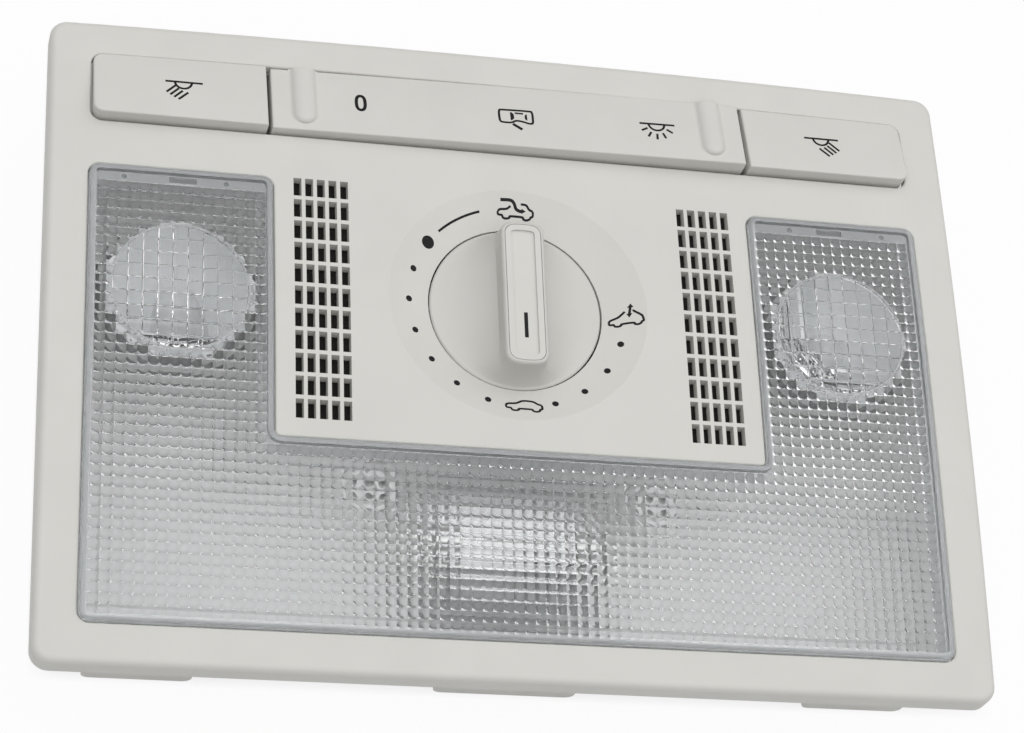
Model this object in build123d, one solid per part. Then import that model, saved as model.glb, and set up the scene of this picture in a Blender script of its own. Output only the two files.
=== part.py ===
from build123d import *
import os
from math import atan, degrees, radians, sin, sqrt

# Front panel, all sizes in millimetres
BEZEL_W = 205.0
BEZEL_H = 150.0
BEZEL_CORNER_R = 4.0
FACE_Z = 8.0
CROWN = 2.75
TOP_ARCH = 1.3
RIM_R = 1.6
RIM_T = 2.2
FACE_T = 2.4

# Margins that place the lens and the switch row on the panel
SIDE_MARGIN = 9.0
BOTTOM_MARGIN = 8.8
TOP_MARGIN = 8.4
ROW_H = 18.2
BAND_H = 11.1
PANEL_W = 107.8
WINDOW_EDGE_R = 0.4
OVERRUN = 30.0

# Clear U-shaped lens
LEG_L = 61.45
LENS_PROUD = 1.0
LENS_T = 2.2
LENS_WALL = 1.6
LENS_CORNER_R = 2.4
LENS_INNER_R = 1.4
LENS_EDGE_R = 0.8
LENS_GAP = 0.25
LENS_SEAT_Z = 0.5
READING_SHIFT = 2.675
READING_IN = 0.7
READING_PAD_T = 1.0
LENS_TAB_W = 12.0
LENS_TAB_OUT = 1.0
LENS_TAB_T = 1.3

# Switch row
ROW_CORNER_R = 2.6
BTN_CORNER_R = 2.1
BTN_SIDE_GAP = 0.6
BTN_FRONT_GAP = 0.6
BTN_BACK_GAP = 0.35
BTN_SPLIT_GAP = 1.2
BTN_PROUD = 3.2
BTN_FRONT_R = 1.6
BTN_EDGE_R = 0.4
BTN_T = 2.0
BTN_WALL = 1.6
BTN_SKIRT_Z = 1.0
HINGE_BACK = 2.4
HINGE_Z = 1.6
HINGE_PIN_R = 1.0
HINGE_PIN_L = 2.0
PIN_CLEAR = 0.05
ARM_T = 1.6
BRACKET_T = 1.6
BRACKET_GAP = 0.4
EAR_GAP = 0.6
EAR_LAND = 1.0
ARM_LAND = 0.6
ARM_TOP_LAND = 0.2
ROCKER_TILT_DEG = 1.0
ROCKER_AXIS_Z = 0.8
ROCKER_PIN_R = 1.5
ROCKER_EAR_W = 8.0
ROCKER_PIN_INSET = 0.2
RIDGE_IN = 7.2
RIDGE_W = 4.8
RIDGE_H = 1.1
RIDGE_R = 0.9
RIDGE_FRONT = 2.0

# Sunroof dial and knob
KNOB_SHIFT = 4.475
DIAL_R = 28.9
DIAL_DROP = 3.6
KNOB_R = 19.2
KNOB_GAP = 0.35
KNOB_EDGE_T = 2.4
BAR_RISE = 5.5
BAR_HALF_W = 4.85
BAR_FOOT_HALF_W = 8.4
BAR_FLARE_R = 3.6
DISC_RISE = 0.9
BAR_DRAFT = 0.1
BAR_END_IN = 2.0
BAR_EDGE_R = 0.7
CAP_LIP = 0.8
CAP_GAP = 0.12
CAP_T = 1.6
CAP_CORNER_R = 2.2
CAP_RECESS = 0.5
CAP_RECESS_LIP = 1.3
POINTER_W = 0.85
POINTER_L = 6.0
POINTER_IN = 4.8
POINTER_T = 0.8
KNOB_WALL = 1.7
HUB_R = 6.2
HUB_DROP = 3.0
SPINDLE_R = 4.0
SPINDLE_UP = 5.0
ROTOR_R = 11.0
ROTOR_T = 3.0
CASE_W = 36.0
CASE_WALL = 2.0
CASE_CORNER_R = 3.0
PEDESTAL_IN = 5.0
CASE_H = 15.0
COVER_T = 2.0
COVER_GAP = 0.4
ROTOR_GAP = 0.6
PIVOT_R = 3.0
PIVOT_L = 1.5
PIVOT_END_GAP = 0.2

# Grilles
GRILLE_IN = 10.55
GRILLE_SHIFT = 2.475
GRILLE_EDGE = 1.2
GRILLE_COLS = 5
GRILLE_PITCH_X = 2.57
GRILLE_PITCH_Y = 5.3
GRILLE_HOLE_W = 1.75
GRILLE_HOLE_H = 4.4
MESH_T = 0.5
MESH_LAP = 1.2

# Rear skirt and tongues of the panel
SKIRT_OUT = 2.4
SKIRT_T = 1.6
SKIRT_DEPTH = 12.0
TONGUE_DEPTH = 21.0
TONGUE_W = 31.0
SIDE_TONGUE_W = 23.0
SIDE_TONGUE_IN = 14.9
TONGUE_R = 2.0

# Rear housing
TUB_DEPTH = 26.0
TUB_WALL = 1.8
TUB_SIDE = 0.5
TUB_FRONT_GAP = 0.3
TUB_BACK = 4.5
TUB_BACK_DEPTH = 15.0
TUB_FRONT_DEPTH = 5.0
TUB_SLOPE_BACK = 11.5
TUB_SLOPE_FRONT = 9.0
TUB_EDGE_R = 2.0
BAY_CLEAR = 0.5
BOSS_R = 3.5
BOSS_Z = -4.0
BOSS_SLEEVE_R = 4.2
LOW_BOSS_IN = 24.9
LOW_BOSS_UP = 5.7
HIGH_BOSS_OUT = 7.0
SCREW_R = 1.5
SCREW_CLEAR = 0.2
SCREW_BITE_GAP = 0.05
SCREW_END_GAP = 0.5
SCREW_HEAD_R = 2.8
SCREW_HEAD_T = 2.0
SCREW_BITE = 7.0
SCREW_FLOOR = 4.0
TOWER_X = 31.5
TOWER_IN = 4.8
TOWER_R = 4.4
TOWER_HOLE_R = 2.3
TOWER_TOP_Z = -5.0

# Lamps
HOLDER_LAND = 1.4
HOLDER_H = 7.2
BULB_R = 4.7
BULB_L = 18.0
WEDGE_W = 9.0
WEDGE_T = 2.6
WEDGE_L = 5.0
WEDGE_GAP = 0.1
BOWL_GAP = 2.0
BULB_ROOM = 0.9
BOWL_H = 16.0
BOWL_T = 1.0
BOWL_SWELL = 2.6
DOME_SHIFT = 4.525
DOME_UP = 13.2
DOME_GLASS_R = 5.0
DOME_GLASS_L = 26.0
DOME_CAP_R = 4.2
DOME_CAP_L = 6.0
DOME_TIP_R = 1.8
DOME_TIP_L = 1.6
CONTACT_T = 0.6
CONTACT_W = 8.0
CONTACT_FOOT = 5.0
TIP_GAP = 0.1
PLATE_END_GAP = 1.0
PLATE_T = 0.8
PLATE_EDGE_GAP = 0.7
PLATE_RISE = 6.0
PLATE_UNDER = 9.0
PLATE_POST_R = 2.5
PLATE_POST_X = 12.0

# Circuit board, switches and socket
BOARD_T = 1.6
BOARD_TOP_Z = -9.0
BOARD_GAP = 4.2
BOARD_D = 20.0
BOARD_FRONT = 0.8
STAKE_R = 1.25
STAKE_GAP = 0.08
STAKE_UP = 0.8
POST_R = 3.0
OUTER_POST_OUT = 6.3
INNER_POST_IN = 10.0
POST_IN = 5.5
SWITCH_W = 6.2
SWITCH_H = 4.4
SWITCH_WALL = 1.3
SWITCH_FLOOR = 0.8
PLUNGER_GAP = 0.3
PLUNGER_TOP_Z = -3.3
PLUNGER_L = 3.2
FINGER_W = 4.0
FINGER_GAP = 0.3
READING_FINGER_IN = 4.0
ROCKER_FINGER_END = 13.9
ROCKER_FINGER_IN = 8.5
SOCKET_W = 24.0
SOCKET_D = 10.0
SOCKET_WALL = 1.4
SOCKET_MOUTH = 10.0
SOCKET_GAP = 0.2
SOCKET_IN = 3.0
PIN_W = 0.64
PIN_L = 5.4
PIN_PITCH = 5.0
PIN_ROWS = 2
PIN_COLS = 4
PIN_ROW_PITCH = 3.0

# Side clips
CLIP_W = 10.0
CLIP_T = 0.8
CLIP_H = 15.0
CLIP_DROP = 5.0
CLIP_OUT = 4.0

# Derived places
HALF_W = BEZEL_W / 2
HALF_H = BEZEL_H / 2
CROWN_R = (HALF_H**2 + CROWN**2) / (2 * CROWN)
LENS_X = HALF_W - SIDE_MARGIN
PANEL_X = PANEL_W / 2
LEG_W = LENS_X - PANEL_X
ROW_Y1 = HALF_H - TOP_MARGIN
ROW_Y0 = ROW_Y1 - ROW_H
LENS_Y1 = ROW_Y0 - BAND_H
PANEL_Y0 = LENS_Y1 - LEG_L
LENS_Y0 = -HALF_H + BOTTOM_MARGIN
PANEL_CY = (PANEL_Y0 + LENS_Y1) / 2
STRIP_H = PANEL_Y0 - LENS_Y0
KNOB_Y = PANEL_CY + KNOB_SHIFT
READING_X = (LENS_X + PANEL_X) / 2
READING_CY = PANEL_CY + READING_SHIFT
BOWL_TOP_R = LEG_W / 2 - LENS_WALL - BOWL_GAP - BOWL_T
BOWL_FOOT_R = BULB_R + BULB_ROOM
HOLDER_R = BOWL_FOOT_R + BOWL_T + HOLDER_LAND
READING_R = BOWL_TOP_R - READING_IN
GRILLE_X = PANEL_X - GRILLE_IN
GRILLE_Y = PANEL_CY + GRILLE_SHIFT
GRILLE_ROWS = int((LEG_L - 2 * GRILLE_EDGE) / GRILLE_PITCH_Y)
FLOOR_Z = -TUB_DEPTH + TUB_WALL
HIGH = FACE_Z + OVERRUN
LOW = -TUB_DEPTH - OVERRUN


def face_z(y, rise=0.0):
    return FACE_Z - CROWN_R + sqrt((CROWN_R + rise) ** 2 - y * y)


def box(x0, x1, y0, y1, z0, z1):
    return Pos((x0 + x1) / 2, (y0 + y1) / 2, (z0 + z1) / 2) * Box(x1 - x0, y1 - y0, z1 - z0)


def rod(r, x, y, z0, z1):
    return Pos(x, y, (z0 + z1) / 2) * Cylinder(r, z1 - z0)


def rod_x(r, x0, x1, y, z):
    return Pos((x0 + x1) / 2, y, z) * Rot(0, 90, 0) * Cylinder(r, x1 - x0)


def rod_y(r, x, y0, y1, z):
    return Pos(x, (y0 + y1) / 2, z) * Rot(90, 0, 0) * Cylinder(r, y1 - y0)


def prism(face, z0, z1):
    return extrude(Pos(0, 0, z0) * face, z1 - z0)


def side_prism(points, x0, x1):
    face = make_face(Polyline(*points, close=True))
    return extrude(Plane.YZ.offset(x0) * face, x1 - x0)


def turned(points):
    face = make_face(Polyline(*points, close=True))
    return revolve(Plane.XZ * face, Axis.Z)


def under_face(rise, z0=LOW):
    # everything below the crowned face, moved out by a rise
    reach_y = HALF_H + OVERRUN
    reach_x = HALF_W + OVERRUN
    z1 = face_z(reach_y, rise)
    arc = ThreePointArc((-reach_y, z1), (0, face_z(0, rise)), (reach_y, z1))
    rest = Polyline((reach_y, z1), (reach_y, z0), (-reach_y, z0), (-reach_y, z1))
    face = make_face(Curve() + [arc, rest])
    return extrude(Plane.YZ.offset(-reach_x) * face, 2 * reach_x)


def arched(half_x, y0, y1):
    # a plate outline whose upper edge has the same arch as the panel
    drop = TOP_ARCH * (half_x / HALF_W) ** 2
    arc = ThreePointArc((half_x, y1 - drop), (0, y1), (-half_x, y1 - drop))
    rest = Polyline((-half_x, y1 - drop), (-half_x, y0), (half_x, y0), (half_x, y1 - drop))
    return make_face(Curve() + [arc, rest])


def lens_plan(grow=0.0):
    x1 = LENS_X + grow
    x0 = PANEL_X - grow
    y1 = LENS_Y1 + grow
    ym = PANEL_Y0 + grow
    y0 = LENS_Y0 - grow
    u = make_face(
        Polyline(
            (-x1, y1), (-x1, y0), (x1, y0), (x1, y1), (x0, y1), (x0, ym), (-x0, ym), (-x0, y1),
            close=True,
        )
    )
    inner = u.vertices().filter_by(lambda v: abs(v.Y - ym) < 0.01)
    outer = u.vertices().filter_by(lambda v: abs(v.Y - ym) > 0.01)
    u = fillet(outer, max(LENS_CORNER_R + grow, 0.3))
    inner = u.vertices().filter_by(lambda v: abs(v.Y - ym) < 0.01 and abs(abs(v.X) - x0) < 0.01)
    return fillet(inner, max(LENS_INNER_R - grow, 0.3))


# Bezel: a crowned shell with a rounded rim
outline = arched(HALF_W, -HALF_H, HALF_H)
outline = fillet(outline.vertices(), BEZEL_CORNER_R)
bezel = prism(outline, 0, HIGH) & under_face(0)
crown_face = bezel.faces().sort_by(Axis.Z)[-1]
bezel = fillet(crown_face.edges(), RIM_R)
bezel -= prism(offset(outline, -RIM_T), -1, HIGH) & under_face(-FACE_T)

# Windows for the lens and for the switch row, with softened edges
bezel -= prism(lens_plan(LENS_GAP), LOW, HIGH)
row = arched(LENS_X, ROW_Y0, ROW_Y1)
row = fillet(row.vertices(), ROW_CORNER_R)
bezel -= prism(row, LOW, HIGH)
crown_face = bezel.faces().filter_by(GeomType.CYLINDER).sort_by(SortBy.AREA)[-2:].sort_by(Axis.Z)[-1]
bezel = fillet([e for w in crown_face.inner_wires() for e in w.edges()], WINDOW_EDGE_R)

# Dial: a conical dish round the knob, leaning with the crown
DIAL_LEAN = degrees(atan(KNOB_Y / CROWN_R))
DIAL_Z = face_z(KNOB_Y)
KNOB_HOLE_R = KNOB_R + KNOB_GAP
DIAL_SLOPE = DIAL_DROP / (DIAL_R - KNOB_HOLE_R)
PAD_R = DIAL_R + FACE_T
lift = HIGH - DIAL_Z
pad = turned(
    [
        (KNOB_HOLE_R, -DIAL_DROP - FACE_T),
        (PAD_R, -FACE_T),
        (PAD_R, -FACE_T / 2),
        (KNOB_HOLE_R, -FACE_T / 2),
    ]
)
dish = turned(
    [
        (0, -DIAL_DROP),
        (KNOB_HOLE_R, -DIAL_DROP),
        (DIAL_R, 0),
        (DIAL_R + lift / DIAL_SLOPE, lift),
        (0, lift),
    ]
)
dial_place = Pos(0, KNOB_Y, DIAL_Z) * Rot(-DIAL_LEAN, 0, 0)
bezel += dial_place * pad
bezel -= dial_place * dish
bezel -= rod(KNOB_HOLE_R, 0, KNOB_Y, LOW, HIGH)

# Grilles
holes = Sketch() + [
    Pos(side * GRILLE_X, GRILLE_Y) * loc * Rectangle(GRILLE_HOLE_W, GRILLE_HOLE_H)
    for side in (-1, 1)
    for loc in GridLocations(GRILLE_PITCH_X, GRILLE_PITCH_Y, GRILLE_COLS, GRILLE_ROWS)
]
bezel -= extrude(Pos(0, 0, -1) * holes, HIGH)

# Screw bosses, hinge brackets, skirt and tongues under the face
backing = under_face(-FACE_T / 2)
HIGH_BOSS_Y = (ROW_Y0 + LENS_Y1) / 2
LOW_BOSS_Y = PANEL_Y0 + LOW_BOSS_UP
LOW_BOSS_X = PANEL_X - LOW_BOSS_IN
HIGH_BOSS_X = PANEL_X + HIGH_BOSS_OUT
boss_spots = [(s * LOW_BOSS_X, LOW_BOSS_Y) for s in (-1, 1)]
boss_spots += [(s * HIGH_BOSS_X, HIGH_BOSS_Y) for s in (-1, 1)]
for bx, by in boss_spots:
    bezel += rod(BOSS_R, bx, by, BOSS_Z, HIGH) & backing
    bezel -= rod(SCREW_R, bx, by, BOSS_Z - 1, BOSS_Z + SCREW_BITE)

HINGE_Y = ROW_Y1 + HINGE_BACK
BTN_X1 = LENS_X - BTN_SIDE_GAP
ROCKER_X = PANEL_X
BTN_X0 = ROCKER_X + BTN_SPLIT_GAP
ARM_END = HINGE_PIN_R + ARM_LAND
bracket_y0 = ROW_Y1 + EAR_GAP
bracket_y1 = HINGE_Y + HINGE_PIN_R + EAR_LAND
bracket_low = HINGE_Z - HINGE_PIN_R - EAR_LAND
bracket_in = ARM_T + BRACKET_GAP
for side in (-1, 1):
    for near in (BTN_X1 - bracket_in - BRACKET_T, BTN_X0 + bracket_in):
        xa, xb = sorted((side * near, side * (near + BRACKET_T)))
        bezel += box(xa, xb, bracket_y0, bracket_y1, bracket_low, HIGH) & backing
        bezel -= rod_x(HINGE_PIN_R + PIN_CLEAR, xa - BRACKET_GAP, xb + BRACKET_GAP, HINGE_Y, HINGE_Z)

rocker_low = ROCKER_AXIS_Z - ROCKER_PIN_R - EAR_LAND
for y_near in (ROW_Y0 - EAR_GAP - BRACKET_T, ROW_Y1 + EAR_GAP):
    y_far = y_near + BRACKET_T
    bezel += box(-ROCKER_EAR_W / 2, ROCKER_EAR_W / 2, y_near, y_far, rocker_low, HIGH) & backing
    bezel -= rod_y(ROCKER_PIN_R + PIN_CLEAR, 0, y_near - BRACKET_GAP, y_far + BRACKET_GAP, ROCKER_AXIS_Z)

SKIRT_Y0 = LENS_Y0 - SKIRT_OUT
skirt_x = LENS_X - LENS_CORNER_R
bezel += box(-skirt_x, skirt_x, SKIRT_Y0, SKIRT_Y0 + SKIRT_T, -SKIRT_DEPTH, HIGH) & backing
SIDE_TONGUE_X = LENS_X - SIDE_TONGUE_IN
for tx, tw in ((-SIDE_TONGUE_X, SIDE_TONGUE_W), (0, TONGUE_W), (SIDE_TONGUE_X, SIDE_TONGUE_W)):
    tongue = box(tx - tw / 2, tx + tw / 2, SKIRT_Y0, SKIRT_Y0 + SKIRT_T, -TONGUE_DEPTH, 0)
    low_corners = tongue.edges().filter_by(Axis.Y).sort_by(Axis.Z)[:2]
    bezel += fillet(low_corners, TONGUE_R)

# Grille fleece, bent to the back of the face
mesh_w = (GRILLE_COLS - 1) * GRILLE_PITCH_X + GRILLE_HOLE_W + 2 * MESH_LAP
mesh_h = (GRILLE_ROWS - 1) * GRILLE_PITCH_Y + GRILLE_HOLE_H + 2 * MESH_LAP
layer = under_face(-FACE_T) - under_face(-FACE_T - MESH_T)
meshes = []
for side in (-1, 1):
    cx = side * GRILLE_X
    strip = Pos(cx, GRILLE_Y) * Rectangle(mesh_w, mesh_h)
    strip -= Pos(0, KNOB_Y) * Circle(PAD_R + LENS_GAP)
    meshes.append(prism(strip, 0, HIGH) & layer)

# Lens: a shallow U-shaped lid with a proud, rounded edge and thick reading optics
lens = prism(lens_plan(), LENS_SEAT_Z, HIGH) & under_face(LENS_PROUD)
lens_top = lens.faces().sort_by(Axis.Z)[-1]
lens = fillet(lens_top.edges(), LENS_EDGE_R)
lens_cavity = prism(lens_plan(-LENS_WALL), LOW, HIGH) & under_face(LENS_PROUD - LENS_T)
lens -= lens_cavity
optic_layer = under_face(LENS_PROUD - LENS_T / 2) - under_face(LENS_PROUD - LENS_T - READING_PAD_T)
for side in (-1, 1):
    lens += rod(READING_R, side * READING_X, READING_CY, LOW, HIGH) & optic_layer
    tab_top = face_z(LENS_Y1, -FACE_T) - LENS_GAP
    tab_x = side * READING_X
    lens += box(
        tab_x - LENS_TAB_W / 2, tab_x + LENS_TAB_W / 2,
        LENS_Y1 - LENS_WALL / 2, LENS_Y1 + LENS_TAB_OUT, tab_top - LENS_TAB_T, tab_top,
    )


# Switch row: wedge-shaped keys, flush at the back and proud at the front
KEY_Y0 = ROW_Y0 + BTN_FRONT_GAP
KEY_Y1 = ROW_Y1 - BTN_BACK_GAP


def wedge(rise):
    za = face_z(ROW_Y1) + rise
    zb = face_z(ROW_Y0) + BTN_PROUD + rise
    slope = (zb - za) / (ROW_Y1 - ROW_Y0)
    front = (ROW_Y0 - ROW_H, zb + slope * ROW_H)
    back = (ROW_Y1 + ROW_H, za - slope * ROW_H)
    return side_prism([front, (front[0], LOW), (back[0], LOW), back], -HALF_W, HALF_W)


strip_plan = arched(BTN_X1, KEY_Y0, KEY_Y1)
strip_plan = fillet(strip_plan.vertices(), BTN_CORNER_R)


def key(x0, x1):
    # hollow key cut from the common strip
    plan = strip_plan & (Pos((x0 + x1) / 2, 0) * Rectangle(x1 - x0, BEZEL_H * 2))
    body = prism(plan, BTN_SKIRT_Z, HIGH) & wedge(0)
    top = body.faces().filter_by(lambda f: f.normal_at().Z > 0.8).sort_by(Axis.Z)[-1]
    front = top.edges().sort_by(Axis.Y)[:1]
    body = fillet(front, BTN_FRONT_R)
    top = body.faces().filter_by(lambda f: f.normal_at().Z > 0.8).sort_by(SortBy.AREA)[-1]
    body = fillet(top.edges().sort_by(Axis.Y)[1:], BTN_EDGE_R)
    body -= prism(offset(plan, -BTN_WALL), LOW, HIGH) & wedge(-BTN_T)
    return body


reading_finger_y = KEY_Y0 + READING_FINGER_IN
rocker_finger_y = KEY_Y0 + ROCKER_FINGER_IN
ROCKER_FINGER_X = ROCKER_X - ROCKER_FINGER_END
RIDGE_X = ROCKER_X - RIDGE_IN
FINGER_Z = PLUNGER_TOP_Z + FINGER_GAP
buttons = []
for side in (-1, 1):
    xa, xb = sorted((side * BTN_X0, side * BTN_X1))
    button = key(xa, xb)
    for wall_x, inward in ((xa, 1), (xb, -1)):
        a, b = sorted((wall_x, wall_x + inward * ARM_T))
        arm_top = HINGE_Z + HINGE_PIN_R + ARM_TOP_LAND
        button += box(a, b, KEY_Y1 - ROW_H / 3, HINGE_Y + ARM_END, HINGE_Z - ARM_END, arm_top)
        pin_root = wall_x + inward * ARM_T / 2
        p, q = sorted((pin_root, wall_x + inward * (ARM_T + BRACKET_GAP + HINGE_PIN_L)))
        button += rod_x(HINGE_PIN_R, p, q, HINGE_Y, HINGE_Z)
    finger = Pos(side * READING_X, reading_finger_y) * Rectangle(FINGER_W, FINGER_W)
    button += prism(finger, FINGER_Z, HIGH) & wedge(-BTN_T / 2)
    buttons.append(button)

# Rocker, stored with its left end pressed as in the photograph
rocker = key(-ROCKER_X, ROCKER_X)
for side in (-1, 1):
    ridge_l = KEY_Y1 - KEY_Y0 - RIDGE_FRONT
    ridge_plan = Pos(side * RIDGE_X, KEY_Y1 - ridge_l / 2) * Rectangle(RIDGE_W, ridge_l)
    nose = ridge_plan.vertices().sort_by(Axis.Y)[:2]
    ridge_plan = fillet(nose, RIDGE_W * 0.48)
    ridge = prism(ridge_plan & strip_plan, FACE_Z - CROWN, HIGH) & wedge(RIDGE_H)
    ridge_top = ridge.faces().sort_by(Axis.Z)[-1]
    ridge = fillet(ridge_top.edges(), RIDGE_R)
    rocker += ridge - wedge(-BTN_T / 2)
    finger = Pos(side * ROCKER_FINGER_X, rocker_finger_y) * Rectangle(FINGER_W, FINGER_W)
    rocker += prism(finger, FINGER_Z, HIGH) & wedge(-BTN_T / 2)
for wall_y, outward in ((KEY_Y0, -1), (KEY_Y1, 1)):
    a, b = sorted((wall_y, wall_y - outward * BTN_WALL))
    rocker += box(-ROCKER_EAR_W / 2, ROCKER_EAR_W / 2, a, b, rocker_low, ROCKER_AXIS_Z + ROCKER_PIN_R)
    gap = BTN_FRONT_GAP if outward < 0 else BTN_BACK_GAP
    pin_end = gap + EAR_GAP + BRACKET_T - ROCKER_PIN_INSET
    a, b = sorted((wall_y - outward * BTN_WALL / 2, wall_y + outward * pin_end))
    rocker += rod_y(ROCKER_PIN_R, 0, a, b, ROCKER_AXIS_Z)
rocker = Pos(0, 0, ROCKER_AXIS_Z) * Rot(0, -ROCKER_TILT_DEG, 0) * Pos(0, 0, -ROCKER_AXIS_Z) * rocker

# Knob: a thin disc that flares up into a tall grip bar
KNOB_EDGE_Z = DIAL_Z - DIAL_DROP
BAR_Z = DIAL_Z + BAR_RISE
BAR_END = KNOB_R - BAR_END_IN
disc_low = KNOB_EDGE_Z - KNOB_EDGE_T
foot_z = KNOB_EDGE_Z + DISC_RISE
flare_z = foot_z + BAR_FLARE_R
ARC_IN = 1 - sqrt(0.5)


def hollow_arc(x0, z0, x1, z1):
    # a cove from a foot out at x0 up to a wall at x1
    return ThreePointArc((x0, z0), (x1 + (x0 - x1) * ARC_IN, z0 + (z1 - z0) * ARC_IN), (x1, z1))


disc_edge = [(0, BAR_Z), (0, disc_low), (KNOB_R, disc_low), (KNOB_R, KNOB_EDGE_Z)]
section = [
    Polyline(*disc_edge, (BAR_FOOT_HALF_W, foot_z)),
    hollow_arc(BAR_FOOT_HALF_W, foot_z, BAR_HALF_W + BAR_DRAFT, flare_z),
    Polyline((BAR_HALF_W + BAR_DRAFT, flare_z), (BAR_HALF_W, BAR_Z), (0, BAR_Z)),
]
half_face = make_face(Curve() + section)
full_face = half_face + mirror(half_face, about=Plane.YZ)
bar = extrude(Plane.XZ.offset(-2 * KNOB_R) * full_face, 4 * KNOB_R)
turn_section = [
    Polyline(*disc_edge),
    hollow_arc(KNOB_R, KNOB_EDGE_Z, BAR_END, flare_z),
    Polyline((BAR_END, flare_z), (BAR_END, BAR_Z), (0, BAR_Z)),
]
envelope = revolve(Plane.XZ * make_face(Curve() + turn_section), Axis.Z)
knob = bar & envelope
bar_top = knob.faces().sort_by(Axis.Z)[-1]
knob = fillet(bar_top.edges(), BAR_EDGE_R)
cap_plan = Rectangle(2 * (BAR_HALF_W - CAP_LIP), 4 * KNOB_R) & Circle(BAR_END - CAP_LIP)
cap_plan = fillet(cap_plan.vertices(), CAP_CORNER_R)
knob -= prism(cap_plan, BAR_Z - CAP_T, HIGH)
hollow = Rectangle(2 * (BAR_HALF_W - KNOB_WALL), 4 * KNOB_R) & Circle(BAR_END - KNOB_WALL)
knob -= prism(hollow, LOW, BAR_Z - CAP_T - KNOB_WALL)
hub_z = disc_low - HUB_DROP
SPINDLE_TOP = KNOB_EDGE_Z + SPINDLE_UP
knob += rod(HUB_R, 0, 0, hub_z, KNOB_EDGE_Z)
knob += rod(HUB_R, 0, 0, disc_low, BAR_Z - CAP_T) & (bar & envelope)
knob -= rod(SPINDLE_R, 0, 0, LOW, SPINDLE_TOP)

cap_top = offset(cap_plan, -CAP_GAP)
knob_cap = prism(cap_top, BAR_Z - CAP_T, BAR_Z)
recess = offset(cap_plan, -CAP_GAP - CAP_RECESS_LIP)
knob_cap -= prism(recess, BAR_Z - CAP_RECESS, HIGH)
pointer_plan = Pos(0, -POINTER_IN - POINTER_L / 2) * Rectangle(POINTER_W, POINTER_L)
knob_cap -= prism(pointer_plan, BAR_Z - CAP_RECESS - POINTER_T, HIGH)
knob_pointer = prism(pointer_plan, BAR_Z - CAP_RECESS - POINTER_T, BAR_Z - CAP_RECESS)

# Selector under the knob
COVER_Z1 = hub_z - COVER_GAP
COVER_Z0 = COVER_Z1 - COVER_T
CASE_Z0 = COVER_Z0 - CASE_H
rotor_top = COVER_Z0 - ROTOR_GAP
case_floor = CASE_Z0 + CASE_WALL
spindle = rod(SPINDLE_R, 0, 0, case_floor + ROTOR_GAP, SPINDLE_TOP)
spindle += rod(ROTOR_R, 0, 0, rotor_top - ROTOR_T, rotor_top)
spindle += rod(PIVOT_R, 0, 0, case_floor - PIVOT_L + PIVOT_END_GAP, rotor_top)
case_plan = fillet(Rectangle(CASE_W, CASE_W).vertices(), CASE_CORNER_R)
rotary_case = prism(case_plan, CASE_Z0, COVER_Z0)
rotary_case -= prism(offset(case_plan, -CASE_WALL), case_floor, HIGH)
rotary_case -= rod(PIVOT_R + PIN_CLEAR, 0, 0, case_floor - PIVOT_L, HIGH)
rotary_cover = prism(case_plan, COVER_Z0, COVER_Z1)
rotary_cover -= rod(SPINDLE_R + PIN_CLEAR, 0, 0, LOW, HIGH)
knob_place = Pos(0, KNOB_Y, 0)
knob = knob_place * knob
knob_cap = knob_place * knob_cap
knob_pointer = knob_place * knob_pointer
spindle = knob_place * spindle
rotary_case = knob_place * rotary_case
rotary_cover = knob_place * rotary_cover

# Rear housing: a tub with a sloping front, a lamp chamber under the lens and a switch bay
TUB_X = LENS_X + TUB_SIDE
TUB_Y1 = HALF_H - TUB_BACK
TUB_Y0 = LENS_Y0 - TUB_FRONT_GAP
BAY_Y = LENS_Y1 + LENS_WALL
BAY_RIM_Z = rocker_low - BAY_CLEAR


def tub_profile(wall):
    y0 = TUB_Y0 + wall
    y1 = TUB_Y1 - wall
    z0 = -TUB_DEPTH + wall
    return [
        (y1, HIGH if wall else BAY_RIM_Z),
        (y1, -TUB_BACK_DEPTH + wall * 0.4),
        (y1 - TUB_SLOPE_BACK + wall * 0.6, z0),
        (y0 + TUB_SLOPE_FRONT - wall * 0.3, z0),
        (y0, -TUB_FRONT_DEPTH + wall * 0.2),
        (y0, HIGH if wall else LENS_SEAT_Z),
    ] + ([] if wall else [(BAY_Y, LENS_SEAT_Z), (BAY_Y, BAY_RIM_Z)])


tub_outer = side_prism(tub_profile(0), -TUB_X, TUB_X)
side_edges = tub_outer.edges().filter_by(Axis.X).sort_by(Axis.Z)[:2]
tub_outer = fillet(side_edges, TUB_EDGE_R)
ends = tub_outer.faces().filter_by(Axis.X).edges()
end_edges = ends.filter_by(lambda e: e.center().Z < -TUB_FRONT_DEPTH)
tub_outer = fillet(end_edges, TUB_EDGE_R)
tub_inner = side_prism(tub_profile(TUB_WALL), -TUB_X + TUB_WALL, TUB_X - TUB_WALL)
tub = tub_outer - tub_inner
chamber = prism(lens_plan(), LOW, LENS_SEAT_Z) - prism(lens_plan(-LENS_WALL), LOW - 1, HIGH)
tub += chamber & tub_outer

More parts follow.
